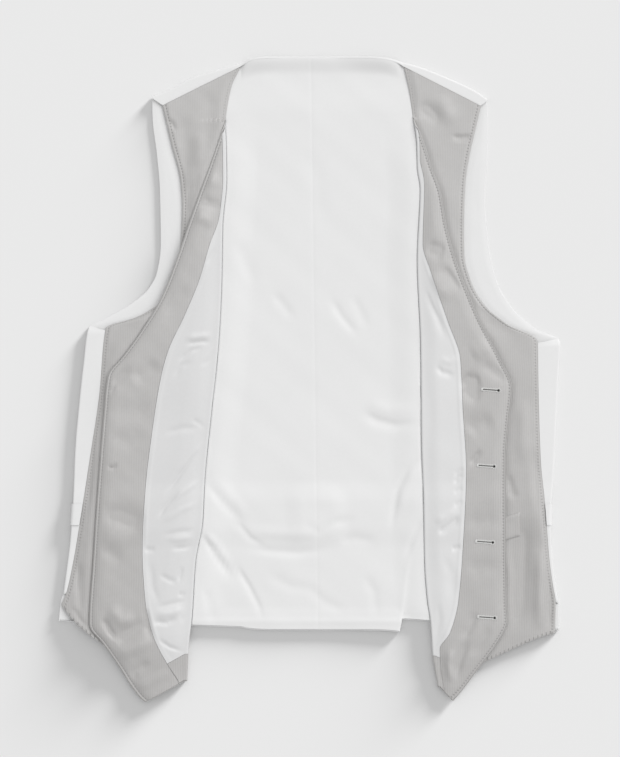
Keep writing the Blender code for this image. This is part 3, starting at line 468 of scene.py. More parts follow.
# On the right front's outer face.
RIGHT_OUTER_CREASES = (
    (((66.5, 146.5), (70.5, 141.5), (78.1, 138.2)), 2.4, -1.6, 0.2),
    (((79.8, 121.6), (86.4, 113.3), (116.3, 115.0)), 7, 1.6, 0),
    (((59.9, 131.6), (83.1, 128.2), (122.9, 126.6)), 8, -1.3, 0),
    (((33.3, 105.0), (63.2, 101.7), (93.0, 105.0)), 9, -1.3, 0),
    (((169.4, 129.9), (142.8, 121.6), (122.9, 111.6)), 6, -2, 0),
    (((390.1, 222.8), (433.3, 225.1), (473.1, 228.5)), 3, -1.8, 0),
    (((519.6, 237.8), (546.1, 236.1), (579.3, 234.4)), 4, -2, 0),
    (((566.0, 244.4), (579.3, 236.1), (589.3, 226.1)), 3, -1.2, 0),
)

# Gentle unevenness of each kind of cloth: (height, wavelengths down and across, phase).
SATIN_WAVES = ((0.16, 97.0, 151.0, 0.4), (0.10, -61.0, 83.0, 1.9), (0.05, 37.0, -43.0, 3.1))
SUITING_WAVES = ((0.16, 71.0, 47.0, 0.9), (0.10, -39.0, 53.0, 2.3), (0.05, 21.0, 27.0, 4.0))


class Line:
    """The out of a line at any drop: a cubic through its points that never overshoots them."""

    def __init__(self, points):
        self.drops, self.outs = np.array(points, float).T
        slopes = np.diff(self.outs) / np.diff(self.drops)
        product = slopes[:-1] * slopes[1:]
        total = np.where(product > 0, slopes[:-1] + slopes[1:], 1.0)
        inner = np.where(product > 0, 2 * product / total, 0.0)
        self.tangents = np.concatenate([slopes[:1], inner, slopes[-1:]])

    def __call__(self, drop):
        drop = np.clip(drop, self.drops[0], self.drops[-1])
        i = np.clip(np.searchsorted(self.drops, drop, "right") - 1, 0, len(self.drops) - 2)
        span = self.drops[i + 1] - self.drops[i]
        t = (drop - self.drops[i]) / span
        return (
            self.outs[i] * (1 + 2 * t) * (1 - t) ** 2
            + self.tangents[i] * span * t * (1 - t) ** 2
            + self.outs[i + 1] * t * t * (3 - 2 * t)
            + self.tangents[i + 1] * span * t * t * (t - 1)
        )


def between(a, b, t):
    return a + (b - a) * t


def ease(value, low=0.0, high=1.0):
    """0 up to low, 1 from high on, and a soft S between them."""
    t = np.clip((value - low) / (high - low), 0.0, 1.0)
    return t * t * (3 - 2 * t)


def roll(angle, squareness=SQUARE_ROLL):
    """The sine and cosine of a turn, drawn out towards the corners, as of cloth pressed flat."""
    sine, cosine = np.sin(angle), np.cos(angle)
    return (
        np.sign(sine) * np.abs(sine) ** squareness,
        np.sign(cosine) * np.abs(cosine) ** squareness,
    )


def steps(start, end, count):
    return np.linspace(start, end, count + 1)


def ridge(value, place, width, height):
    """A rounded ridge along a line, or a trough where height is negative."""
    return height * np.exp(-(((value - place) / width) ** 2))


def gathered(start, end, count, place, spread):
    """Stations from start to end, closest together round a place."""
    fine = steps(start, end, GATHER_STATIONS)
    closeness = np.cumsum(1 + ridge(fine, place, spread, GATHER_CLOSENESS))
    return np.interp(steps(closeness[0], closeness[-1], count), closeness, fine)


def expand(levels, columns, pitch, drops):
    """The rows of a table of levels, with rows filled in so that none is further than pitch."""
    named = [dict(zip(columns, level)) for level in levels]
    rows = []
    for above, below in zip(named, named[1:]):
        reach = max(abs(below[key] - above[key]) for key in drops)
        count = max(math.ceil(reach / pitch), 1)
        for i in range(count):
            row = {key: between(above[key], below[key], i / count) for key in columns[1:]}
            row["name"] = above["name"] if i == 0 else ""
            rows.append(row)
    return rows + [named[-1]]


centre_seam = Line(CENTRE_SEAM)


def strap_lift(x, drop):
    """How far the strap and its buckle, lying underneath, lift the cloth."""
    above = ease(drop, STRAP_TOP - STRAP_RAMP, STRAP_TOP)
    below = 1 - ease(drop, STRAP_BOTTOM, STRAP_BOTTOM + STRAP_RAMP)
    near = 1 - ease(np.abs(x - centre_seam(drop)), BUCKLE_REACH, BUCKLE_SPREAD)
    return above * below * (STRAP_LIFT + BUCKLE_LIFT * near)


def crease_heights(creases, drop, out):
    """The sum of the creases of a table at each place."""
    total = np.zeros(np.broadcast(drop, out).shape)
    for line, spread, height, lean in creases:
        points = np.array(line, float)
        lengths = np.hypot(*np.diff(points, axis=0).T)
        whole, before = lengths.sum(), 0.0
        nearest = np.full(total.shape, 1e9)
        along = np.zeros(total.shape)
        flank = np.zeros(total.shape)
        for (drop_a, out_a), (drop_b, out_b), length in zip(points, points[1:], lengths):
            way = ((drop_b - drop_a) / length, (out_b - out_a) / length)
            t = np.clip((drop - drop_a) * way[0] + (out - out_a) * way[1], 0.0, length)
            aside = np.hypot(drop - drop_a - t * way[0], out - out_a - t * way[1])
            closer = aside < nearest
            sign = np.sign((drop - drop_a) * way[1] - (out - out_a) * way[0])
            nearest = np.where(closer, aside, nearest)
            along = np.where(closer, (before + t) / whole, along)
            flank = np.where(closer, sign, flank)
            before += length
        width = spread * (1 + lean * flank)
        taper = ease(along, -0.05, 0.3) * (1 - ease(along, 0.65, 1.05))
        total += height * taper * np.exp(-((nearest / width) ** 2))
    return total


def wave_heights(waves, drop, out):
    """Gentle waves that bend as they run, so that no two crests are alike."""
    total = 0.0
    for height, down, across, phase in waves:
        bend = 0.8 * np.sin(drop / 83.0 + 2 * phase) + 0.7 * np.sin(out / 57.0 + phase)
        total = total + height * np.sin(2 * math.pi * (drop / down + out / across) + phase + bend)
    return total


class Front:
    """One front, folded back on itself along a vertical line."""

    def __init__(self, side, lines, levels, fold_radius, looks):
        self.side = side
        self.lines = {name: Line(points) for name, points in lines.items()}
        self.rows = expand(levels, LEVEL_COLUMNS, ROW_PITCH, ("side", "fold", "edge"))
        self.radius = fold_radius
        self.reach = fold_radius + LAYER + WALL / 2
        self.looks = looks
        self.first_turned = next(row["edge"] for row in self.rows if row["name"] == "break")
        for row in self.rows:
            self.measure(row)
        self.side_along = self.along(lambda row: PICK_INSET - row["width"])
        self.edge_along = self.along(lambda row: max(row["past bend"] - PICK_INSET, 0.0))

    def along(self, length_of):
        """How far down the garment each row lies, measured along a line near an edge."""
        return arc_lengths(np.array([self.surface(row, [length_of(row)])[0] for row in self.rows]))

    def row_index(self, name):
        return next(i for i, row in enumerate(self.rows) if row["name"] == name)

    def measure(self, row):
        """Where the row's bend starts, and the length of cloth past that."""
        fold_out = float(self.lines["fold"](row["fold"]))
        edge_out = float(self.lines["edge"](row["edge"]))
        turned = max(edge_out - fold_out, 0.0) if row["edge"] > self.first_turned else 0.0
        share = min(turned / self.reach, 1.0)
        row["share"] = max(share, LEAST_BEND) if turned else 1.0
        row["radius"] = self.radius * max(share, LEAST_BEND)
        row["half turn"] = math.pi * row["radius"]
        row["side out"] = float(self.lines["side"](row["side"]))
        row["bend out"] = fold_out + self.reach * share
        row["past bend"] = row["half turn"] + max(turned - self.reach, 0.0) if turned else 0.0
        row["width"] = row["side out"] - row["bend out"]
        mid_drop = between(row["fold"], row["edge"], SEAM_SHARE)
        seam_inset = float(self.lines["facing"](mid_drop)) - fold_out
        seam = row["half turn"] + max(seam_inset - self.reach, LEAST_LINING)
        row["seam"] = min(seam, CURLED_LINING * row["past bend"])

    def places(self, row, lengths, offsets):
        """Places along a row: lengths run from minus the width, at the side, over the bend."""
        lengths = np.asarray(lengths, float)
        offsets = np.broadcast_to(np.asarray(offsets, float), lengths.shape)
        share = np.minimum(1 + lengths / row["width"], 1.0)
        low_out = row["bend out"] - lengths
        low_drop = between(row["side"], row["fold"], share)
        low_drop = low_drop + row["sag"] * (1 - (1 - 2 * np.maximum(share, 0.0)) ** 4)
        offsets = offsets * between(row["share"], 1.0, ease(-lengths, 0.0, BEND_APPROACH))
        angle = np.clip(lengths / row["radius"], 0.0, math.pi)
        flat = np.maximum(lengths - row["half turn"], 0.0)
        whole = max(row["past bend"] - row["half turn"], 1e-6)
        reach = row["radius"] + offsets
        sine, cosine = roll(angle)
        high_out = row["bend out"] + flat - reach * sine
        high_drop = between(row["fold"], row["edge"], np.minimum(flat / whole, 1.0))
        high_z = FRONT_SHELL_Z + row["radius"] - reach * cosine
        low = lengths < 0
        out = np.where(low, low_out, high_out)
        drop = np.where(low, low_drop, high_drop)
        z = np.where(low, FRONT_SHELL_Z - offsets, high_z)
        return out, drop, z

    def outer_relief(self, out, drop):
        """How far the outer face stands off its layer, where the turned part doesn't cover it."""
        from_side = self.lines["side"](drop) - out
        turned = drop > self.first_turned
        from_edge = out - self.lines["edge"](drop)
        past_edge = ease(from_edge, *OUTER_FADE)
        from_front = out - self.lines["fold"](drop)
        from_v = ease(from_front, *V_FADE)
        shown = np.where(turned, past_edge, from_v) * ease(from_side, *OUTER_FADE)
        shape = crease_heights(self.looks["outer"], drop, out)
        shape = shape + wave_heights(SUITING_WAVES, drop, out) + self.looks["outer puff"]
        sewn = ridge(from_side, *OUTER_BEAD) + ridge(from_side, *OUTER_SEWN)
        lift = ease(from_edge, *LIFT_RISES) * (1 - ease(from_edge, *LIFT_FALLS))
        lift = self.looks["outer lift"] * lift * turned * ease(from_side, *LIFT_SIDE)
        laid = V_LAID * (1 - from_v) * (1 - turned)
        shape = np.maximum(shape * shown, OUTER_LOWEST) + laid
        return shape + lift + sewn * (drop < UNDERARM_DROP)

    def facing_relief(self, row, lengths, out, drop):
        from_edge = row["past bend"] - lengths
        puff = self.looks["facing puff"] * ease(from_edge, *PUFF_FADE)
        sewn = puff + ridge(from_edge, *FACING_BEAD) + ridge(from_edge, *FACING_SEWN)
        shape = crease_heights(self.looks["facing"], drop, out)
        shape = (shape + wave_heights(SUITING_WAVES, drop, out)) * ease(from_edge, *CREASE_FADE)
        fall = -self.looks["edge fall"] * (1 - ease(from_edge, *FALL_FADE))
        return np.maximum(sewn + shape, -self.looks["room"]) + fall

    def relief(self, row, lengths, out, drop, cloth):
        """How far the cloth stands off its flat layer."""
        from_seam = row["seam"] - lengths
        half_turn = row["half turn"]
        flat = max(row["past bend"] - half_turn, 0.0)
        turned = ease(lengths, half_turn * 0.5, half_turn + TURNED_FADE)
        settled = 1 - RISE_LOST * ease(drop, *SETTLE_DROPS)
        rise = self.looks["rise"] * min(flat / RISE_WIDTH, 1.0) * settled
        rise = rise * ease(lengths, half_turn * 0.5, half_turn + self.looks["rise span"])
        high = self.facing_relief(row, lengths, out, drop)
        if cloth == "shell":
            high = high * (1 - ease(from_seam, *SHELL_SEAM_FADE))
        if cloth == "lining":
            own = crease_heights(self.looks["lining"], drop, out)
            own = own + wave_heights(SATIN_WAVES, drop, out) + self.looks["lining puff"]
            own = np.maximum(own + ridge(from_seam, *LINING_BEAD), LINING_LOWEST)
            high = between(high, own, ease(from_seam, *LINING_SEAM_FADE))
        low = self.outer_relief(out, drop) if cloth == "shell" else 0.0
        return np.where(lengths < 0, low, turned * high + rise)

    def surface(self, row, lengths, offsets=0.0, cloth="shell", slip=0.0):
        """Points in metres, with the relief. slip moves them further down the garment."""
        out, drop, z = self.places(row, lengths, offsets)
        x = self.side * out
        z = z + strap_lift(x, drop) - SETTLE * ease(drop, *SETTLE_DROPS)
        z = z + self.relief(row, np.asarray(lengths, float), out, drop, cloth)
        y = CENTRE_DROP - drop - slip
        return np.stack([x, y, z], axis=-1) * MM


class Back:
    """One half of the back, from the centre seam out."""

    def __init__(self, side, lines, levels, hem, front):
        self.side = side
        self.front = front
        self.outer = Line(lines["outer"])
        self.neck = Line(lines["neck"])
        self.shoulder = Line(lines["shoulder"])
        self.shoulder_span = (lines["shoulder"][0][0], lines["shoulder"][-1][0])
        self.seam_ends = lines["shoulder seam"]
        drops = BACK_COLUMNS[1:]
        rows = expand(levels, BACK_COLUMNS, ROW_PITCH, drops)
        rows[-1:] = self.side_rows()
        low = [dict(rows[-1], name="vent"), *(dict(zip(BACK_COLUMNS, level)) for level in hem)]
        low = [tuple(row[key] for key in BACK_COLUMNS) for row in low]
        self.rows = rows + expand(low, BACK_COLUMNS, ROW_PITCH, drops)[1:]
        self.underarm = next(row["outer"] for row in self.rows if row["name"] == "wrapped")
        band = next(i for i, row in enumerate(self.rows) if row["name"] == "neck band")
        self.shaped = [self.outline(row) for row in self.rows]
        first, last = self.outline(self.rows[0], on_shoulder=True), self.shaped[band]
        for i in range(band):
            self.shaped[i] = tuple(between(a, b, i / band) for a, b in zip(first, last))

    def side_rows(self):
        """The rows from the underarm to the vent, at the front's own rows, so the seams meet."""
        start, end = (self.front.row_index(name) for name in ("underarm", "vent"))
        rows = []
        for row in self.front.rows[start : end + 1]:
            drops = dict.fromkeys(BACK_COLUMNS[1:], row["side"])
            rows.append({"name": "wrapped", "seam out": row["side out"], **drops})
        return rows

    def far_shares(self, row):
        """The columns past the neck column, as shares of the way out, closest by the fold."""
        neck = float(self.neck(row["neck"]))
        wide = float(self.outer(row["outer"])) - neck
        fold = float(self.front.lines["fold"](row["past"])) - neck
        return gathered(PAST_SHARE, 1.0, FAR_COLUMNS, fold / wide, FOLD_REACH / wide)

    def outline(self, row, on_shoulder=False):
        """The outs and drops of a row, from the centre seam to the neck column and on out."""
        centre = self.side * float(centre_seam(row["centre"])) + SEAM_GAP / 2
        neck = float(self.neck(row["neck"]))
        near = steps(0.0, 1.0, NEAR_COLUMNS)
        out = centre + (neck - centre) * near
        drop = between(row["centre"], row["neck"], near**NECK_CURVE)
        outer = float(self.outer(row["outer"]))
        if row["name"] == "wrapped":
            outer -= ROLL_OUT
        far = self.far_shares(row)
        out = np.concatenate([out, between(neck, outer, far)])
        drop = np.concatenate([drop, between(row["past"], row["outer"], far)])
        if on_shoulder:
            starts = [self.shoulder_start(share) for share in (0.0, *far)]
            out[NEAR_COLUMNS:], drop[NEAR_COLUMNS:] = np.array(starts).T
        return out, drop

    def shoulder_start(self, share):
        """Where the roll over the shoulder starts, a share of the way from neck to armhole."""
        out = between(*self.shoulder_span, share)
        drop = float(self.shoulder(out))
        lean = math.atan(float(self.shoulder(out + 1.0) - self.shoulder(out - 1.0))) / 2
        return out - ROLL_OUT * math.sin(lean), drop + ROLL_OUT * math.cos(lean)

    def height(self, out, drop, cloth):
        """How far the cloth stands off its flat layer: the neck edge, the pleat and creases."""
        x = self.side * out
        share = np.clip(out / float(self.neck(0.0)), 0.0, 1.0)
        stand = NECK_STAND + NECK_STAND_SIDES * ease(share, *STAND_SHARES)
        edge_drop = between(NAPE_DROP, self.rows[0]["neck"], share**NECK_CURVE)
        within = (share < 1.0) * (1 - share**STAND_SQUARENESS)
        z = stand * within * (1 - ease(drop - edge_drop, BAND_START, NECK_BAND))
        z = z + strap_lift(x, drop)
        if self.side > 0:
            before_pleat = ease(self.neck(drop) - out, -PLEAT_EDGE, PLEAT_EDGE)
            stepped = PLEAT_STEP * ease(drop, *PLEAT_DROPS)
            z = z + stepped * before_pleat * ease(out, *PLEAT_OUTS)
        if cloth == "shell":
            return z
        fold = self.front.lines["fold"](drop)
        side = self.front.lines["side"](drop)
        outer = self.outer(drop)
        shown = 1 - ease(out, fold + DIVE_START, fold + DIVE_END)
        to_fold = FOLD_FILL * ease(out, fold + FILL_START, fold + FILL_END)
        to_fold = to_fold * ease(drop, *FILL_DROPS)
        strip = ease(out, side + STRIP_START, side + STRIP_WHOLE)
        strip = strip * (1 - ease(out, outer - STRIP_WHOLE, outer))
        shape = crease_heights(BACK_CREASES, drop, x) + wave_heights(SATIN_WAVES, drop, x)
        seam = ridge(x - centre_seam(drop), *CENTRE_SEWN)
        puff = BACK_PUFF * ease(drop, *PUFF_TOP) * (1 - ease(drop, *PUFF_BOTTOM))
        puff = puff + np.maximum(HEM_LOFT * ease(drop, *LOFT_DROPS), to_fold)
        hem = ridge(drop, *BACK_HEM_BEAD)
        edge = strip * (STRIP_LIFT + STRIP_CREASE * shape) + ridge(outer - out, *ARMHOLE_BEAD)
        armhole = np.where(drop < self.underarm, edge, 0.0)
        own = shown * np.maximum(puff + hem + shape + seam, BACK_LOWEST)
        return z + own + np.maximum(armhole, 0.0)

    def points(self, out, drop, z, cloth):
        z = z + self.height(out, drop, cloth)
        return np.stack([self.side * out, CENTRE_DROP - drop, z], axis=-1) * MM

    def side_columns(self, row, shaped):
        """The shell's last columns: round the side up to the seam, or a rolled edge."""
        out, drop = shaped[0][-1], shaped[1][-1]
        sine, cosine = roll(steps(0.0, math.pi, ROLL_STEPS)[1:])
        if row["name"] == "wrapped":
            outs = np.append(out + ROLL * sine, row["seam out"] + GAP)
            lifts = np.append(ROLL * (1 - cosine), 2 * ROLL)
        else:
            outs = np.append(out - EDGE_ROLL + EDGE_ROLL * sine, out - EDGE_ROLL - 0.3)
            lifts = np.append(EDGE_ROLL * (1 - cosine), 2 * EDGE_ROLL)
        drops = np.full(len(outs), drop)
        return self.points(outs, drops, BACK_SHELL_Z + lifts, "shell")

    def over_edge(self):
        """Rows of points rolling over the neck edge and over the shoulder to its seam."""
        out, drop = self.shaped[0]
        near, far = steps(0.0, 1.0, NEAR_COLUMNS), self.far_shares(self.rows[0])
        away_out, away_drop = np.zeros(len(out)), np.full(len(out), -1.0)
        seam_out, seam_drop = out.copy(), drop.copy()
        (neck_out, neck_drop), (tip_out, tip_drop) = self.seam_ends
        for i, share in enumerate((0.0, *far), start=NEAR_COLUMNS):
            fold_out = between(*self.shoulder_span, share)
            away_out[i] = (fold_out - out[i]) / ROLL_OUT
            away_drop[i] = (float(self.shoulder(fold_out)) - drop[i]) / ROLL_OUT
            seam_out[i] = between(neck_out, tip_out, share) + GAP * away_out[i]
            seam_drop[i] = between(neck_drop, tip_drop, share) + GAP * away_drop[i]
        radius = np.concatenate([between(EDGE_ROLL, ROLL, near**24), np.full(len(far), ROLL)])
        rows = []
        for angle in steps(0.0, math.pi, ROLL_STEPS)[1:]:
            sine, cosine = roll(angle)
            reach, lift = radius * sine, radius * (1 - cosine)
            rolled = (out + reach * away_out, drop + reach * away_drop)
            rows.append(self.points(*rolled, BACK_SHELL_Z + lift, "shell"))
        far_only = np.arange(len(out)) >= NEAR_COLUMNS
        last = (np.where(far_only, seam_out, out), np.where(far_only, seam_drop, drop + 1.0))
        rows.append(self.points(*last, BACK_SHELL_Z + 2 * radius, "shell"))
        return rows[::-1]


def cloth_mesh(name, grids, thick, material, stitched=None):
    """One cloth piece through grids of points, welded where they meet and given its thickness.

    stitched has, for each grid, each point's place along its stitched edge and distance from it.
    """
    points, seams, faces, start = [], [], [], 0
    for number, grid in enumerate(grids):
        grid = np.array(grid)
        count, across = grid.shape[:2]
        points.append(grid.reshape(-1, 3))
        if stitched is not None:
            seams.append(np.array(stitched[number], float).reshape(-1, 2))
        index = start + np.arange(count * across).reshape(count, across)
        corners = (index[:-1, :-1], index[1:, :-1], index[1:, 1:], index[:-1, 1:])
        faces.append(np.stack(corners, axis=-1).reshape(-1, 4))
        start += count * across
    points = np.concatenate(points)
    keys = np.round(points / (WELD * MM)).astype(np.int64)
    _, first, index = np.unique(keys, axis=0, return_index=True, return_inverse=True)
    index = index.reshape(-1)
    polygons = []
    for face in index[np.concatenate(faces)].tolist():
        ring = list(dict.fromkeys(face))
        if len(ring) > 2:
            polygons.append(ring)
    mesh = bpy.data.meshes.new(name)
    mesh.from_pydata(points[first].tolist(), [], polygons)
    if stitched is not None:
        places = np.concatenate(seams)[first]
        layer = mesh.uv_layers.new(name="stitch_line")
        corner_vertex = np.empty(len(mesh.loops), np.int32)
        mesh.loops.foreach_get("vertex_index", corner_vertex)
        layer.data.foreach_set("uv", places[corner_vertex].astype(np.float32).reshape(-1))
    mesh.materials.append(material)
    return solid_cloth(name, mesh, thick)


def new_object(name, data):
    obj = bpy.data.objects.new(name, data)
    bpy.context.scene.collection.objects.link(obj)
    return obj


def solid_cloth(name, mesh, thick):
    shape = bmesh.new()
    shape.from_mesh(mesh)
    loose = [v for v in shape.verts if not v.link_faces]
    bmesh.ops.delete(shape, geom=loose, context="VERTS")
    shape.to_mesh(mesh)
    shape.free()
    mesh.shade_smooth()
    obj = new_object(name, mesh)
    wall = obj.modifiers.new("cloth thickness", "SOLIDIFY")
    wall.thickness = thick * MM
    wall.offset = 0.0
    return obj


def fix_modifiers(obj):
    """Makes what the modifiers show the piece's own mesh."""
    bpy.context.view_layer.update()
    shown = obj.evaluated_get(bpy.context.evaluated_depsgraph_get())
    mesh = bpy.data.meshes.new_from_object(shown)
    mesh.set_sharp_from_angle(angle=SHARP_ANGLE)
    obj.modifiers.clear()
    old, obj.data = obj.data, mesh
    bpy.data.meshes.remove(old)


def arc_lengths(points):
    """The length along a line of points up to each of them, in millimetres."""
    pieces = np.linalg.norm(np.diff(points, axis=0), axis=1) / MM
    return np.concatenate([[0.0], np.cumsum(pieces)])


def graded(start, end, fine, pitch_fine, count):
    """Stations from start to end, pitch_fine apart over the last stretch, which is fine long."""
    stretch = np.minimum(fine, 0.5 * (end - start))
    close = max(int(round(fine / pitch_fine)), 2)
    coarse = steps(start, end - stretch, count)[:-1]
    return np.concatenate([coarse, steps(end - stretch, end, close)])


def shell_stations(front, row):
    """A shell's lengths and offsets along a row, rolled edge to rolled edge."""
    width, past = row["width"], row["past bend"]
    turn = steps(0.0, math.pi, EDGE_STEPS)
    rolled_offset = EDGE_ROLL * (1 - np.cos(turn))
    start = -(width - EDGE_ROLL)
    side_roll = (start - EDGE_ROLL * np.sin(turn))[::-1]
    low = -graded(0.0, -start, *EDGE_FINE, LOW_COLUMNS)[::-1]
    edge = min(EDGE_ROLL, past / 4) if past else EDGE_ROLL
    bend_end = min(row["half turn"], CURLED_BEND * past)
    end = past - edge
    bend = steps(0.0, max(bend_end, 0.0), BEND_STEPS)[1:]
    high = graded(bend_end, max(end, bend_end), *EDGE_FINE, HIGH_COLUMNS)[1:]
    if not past:
        bend, high = np.full_like(bend, end), np.full_like(high, end)
        low = np.minimum(low, end)
    edge_roll = end + edge * np.sin(turn)
    lengths = np.concatenate([side_roll[:-1], low, bend, high, edge_roll[1:]])
    flat = np.zeros(len(low) + len(bend) + len(high))
    offsets = np.concatenate([rolled_offset[::-1][:-1], flat, rolled_offset[1:]])
    return lengths, offsets


def front_shell(front, name):
    grid, seams = [], []
    last = len(front.rows) - 1
    for i, row in enumerate(front.rows):
        lengths, offsets = shell_stations(front, row)
        along = np.full(len(lengths), front.side_along[i])
        places = np.stack([along, lengths + row["width"]], axis=-1)
        grid.append(front.surface(row, lengths, offsets))
        seams.append(places)
        if i == last:
            for angle in steps(0.0, math.pi, EDGE_STEPS)[1:]:
                rolled = np.maximum(offsets, EDGE_ROLL * (1 - math.cos(angle)))
                pinched = np.cos(2 * math.pi * lengths / SCALLOP_PITCH) - 1
                slip = EDGE_ROLL * math.sin(angle) + SCALLOP_DEPTH / 2 * pinched * (lengths < 0)
                grid.append(front.surface(row, lengths, rolled, slip=slip))
                seams.append(places)
    return cloth_mesh(name, [grid], SUITING_THICK, suiting, [seams])


def front_lining(front, name):
    grid = []
    for row in front.rows[: front.row_index("lining hem") + 1]:
        start = -(row["width"] - EDGE_ROLL - GAP)
        until = max(row["seam"] - GAP / 2, 0.0)
        bend_end = min(row["half turn"], CURLED_BEND * row["past bend"], until)
        lengths = np.concatenate([
            steps(start, 0.0, HIDDEN_COLUMNS),
            steps(0.0, bend_end, BEND_STEPS)[1:],
            graded(bend_end, until, *LINING_FINE, LINING_COLUMNS)[1:],
        ])
        if row["past bend"] <= 0:
            lengths = np.minimum(lengths, -EDGE_ROLL - GAP)
        grid.append(front.surface(row, lengths, LAYER, "lining"))
    return cloth_mesh(name, [grid], SATIN_THICK, shaded_lining_satins[front.side])


def front_facing(front, name):
    grid, seams = [], []
    for i, row in enumerate(front.rows):
        end = row["past bend"] - EDGE_ROLL - GAP / 2
        if row["past bend"] < LEAST_TURNED or end < row["seam"]:
            continue
        start = min(row["seam"] + GAP / 2, end)
        half = between(start, end, 0.5)
        mirrored = start + half - graded(start, half, *SEAM_FINE, FACING_COLUMNS)[::-1]
        to_edge = graded(half, end, *FACING_FINE, FACING_COLUMNS)[1:]
        lengths = np.concatenate([mirrored, to_edge])
        along = np.full(len(lengths), front.edge_along[i])
        grid.append(front.surface(row, lengths, LAYER, "facing"))
        seams.append(np.stack([along, row["past bend"] - lengths], axis=-1))
    return cloth_mesh(name, [grid], SUITING_THICK, suiting, [seams])


def hem_turnup(front, name):
    """The front's own hem, turned up inside, where it shows round the fold."""
    grid = []
    rows = front.rows[front.row_index("lining hem") :]
    for i, row in enumerate(rows):
        end = row["seam"] - GAP / 2
        lengths = np.concatenate([
            steps(-TURNUP_UNDER * row["width"], 0.0, TURNUP_COLUMNS[0]),
            steps(0.0, row["half turn"], BEND_STEPS)[1:],
            steps(row["half turn"], end, TURNUP_COLUMNS[1])[1:],
        ])
        slip = GAP if i == 0 else -TURNUP_INSET * i / (len(rows) - 1)
        grid.append(front.surface(row, lengths, LAYER, "facing", slip))
    return cloth_mesh(name, [grid], SUITING_THICK, suiting)


def pocket_welt(front, name, welt):
    """A folded strip sewn on the front's outer face, slanting up towards the side."""
    grid = []
    along = np.array((0.0, 0.006, 0.02, *steps(0.04, 0.96, 46), 0.98, 0.994, 1.0))
    end_in = np.minimum(np.minimum(along, 1 - along) * WELT_LENGTH, WELT_RIM)
    for across in (0.0, 0.02, 0.06, *steps(0.12, 0.88, 12), 0.94, 0.98, 1.0):
        out = between(welt["side"][0], welt["front"][0], along)
        top = between(welt["side"][1], welt["front"][1], along)
        drop = top + across * welt["height"]
        rim_in = np.minimum(np.minimum(across, 1 - across) * welt["height"], WELT_RIM)
        stand = WELT_STAND * np.sqrt(np.minimum(rim_in, end_in) / WELT_RIM)
        z = FRONT_SHELL_Z + SUITING_THICK / 2 + WELT_CLEAR + stand
        x = front.side * out
        z = z + strap_lift(x, drop) + front.outer_relief(out, drop)
        grid.append(np.stack([x, CENTRE_DROP - drop, z], axis=-1) * MM)
    return cloth_mesh(name, [grid], WELT_THICK, suiting)


def back_shell(back, name):
    # Little of it shows, so every other row and column is enough.
    past_neck = NEAR_COLUMNS + 1
    columns = np.r_[0:past_neck:2, past_neck : past_neck + FAR_COLUMNS + 1 : 2]
    grid = []
    last = len(back.rows) - 1
    for i, (row, shaped) in enumerate(zip(back.rows, back.shaped)):
        if i % 2 and i != last:
            continue
        flat_out, flat_drop = shaped[0][columns], shaped[1][columns]
        if row["name"] != "wrapped":
            flat_out[-1] -= EDGE_ROLL
        flat = back.points(flat_out, flat_drop, BACK_SHELL_Z, "shell")
        grid.append(np.concatenate([flat, back.side_columns(row, shaped)]))
    out, drop = (places[columns] for places in back.shaped[-1])
    for angle in steps(0.0, math.pi, ROLL_STEPS)[1:]:
        sine, cosine = roll(angle)
        lift, slip = (EDGE_ROLL + HEM_LOFT / 2) * (1 - cosine), EDGE_ROLL * (sine - 1)
        rolled = back.points(out, drop + slip, BACK_SHELL_Z + lift, "shell")
        side = np.repeat(rolled[-1:], ROLL_STEPS + 1, axis=0)
        grid.append(np.concatenate([rolled, side]))
    over = back.over_edge()
    over.append(back.points(*back.shaped[0], BACK_SHELL_Z, "shell"))
    over = [places[columns] for places in over]
    return cloth_mesh(name, [grid, over], SATIN_THICK, white_satin)


def back_lining(back, name):
    grid = []
    count = len(back.rows)
    for i, (row, shaped) in enumerate(zip(back.rows, back.shaped)):
        out, drop = shaped[0].copy(), shaped[1].copy()
        out[-1] -= LINING_INSET
        drop += LINING_INSET * ((i == 0) - (i == count - 1))
        grid.append(back.points(out, drop, BACK_LINING_Z, "lining"))
    return cloth_mesh(name, [grid], SATIN_THICK, white_satin)


def strap_half(back, name):
    """From the buckle, under the back, round the side and up to the side seam."""
    low, high = WALL / 2, BUCKLE_THICK + GAP + WALL / 2
    radius = ROLL + LAYER
    centre_z = BACK_SHELL_Z + ROLL + STRAP_LIFT
    grid = []
    top = STRAP_TOP + STRAP_INSET
    for drop in steps(top, top + STRAP_WIDTH, STRAP_ROWS):
        centre = back.side * float(centre_seam(STRAP_TOP))
        fold = float(back.outer(drop)) - ROLL_OUT
        line = [*zip(BUCKLE_OUTS, (low, high, high, low)), (BUCKLE_SPREAD, low)]
        outs = [centre + out for out, _ in line]
        heights = [z for _, z in line]
        for out in steps(centre + BUCKLE_SPREAD, fold, STRAP_COLUMNS)[1:]:
            outs.append(out)
            heights.append(low)
        for angle in steps(0.0, math.pi, STRAP_TURN_STEPS)[1:]:
            outs.append(fold + radius * math.sin(angle))
            heights.append(centre_z - radius * math.cos(angle))
        seam_out = float(back.front.lines["side"](drop)) + GAP
        for out in steps(outs[-1], seam_out, STRAP_END_COLUMNS)[1:]:
            outs.append(out)
            heights.append(centre_z + radius)
        x = back.side * np.array(outs)
        y = np.full(len(outs), CENTRE_DROP - drop)
        grid.append(np.stack([x, y, np.array(heights)], axis=-1) * MM)
    return cloth_mesh(name, [grid], SATIN_THICK, white_satin)


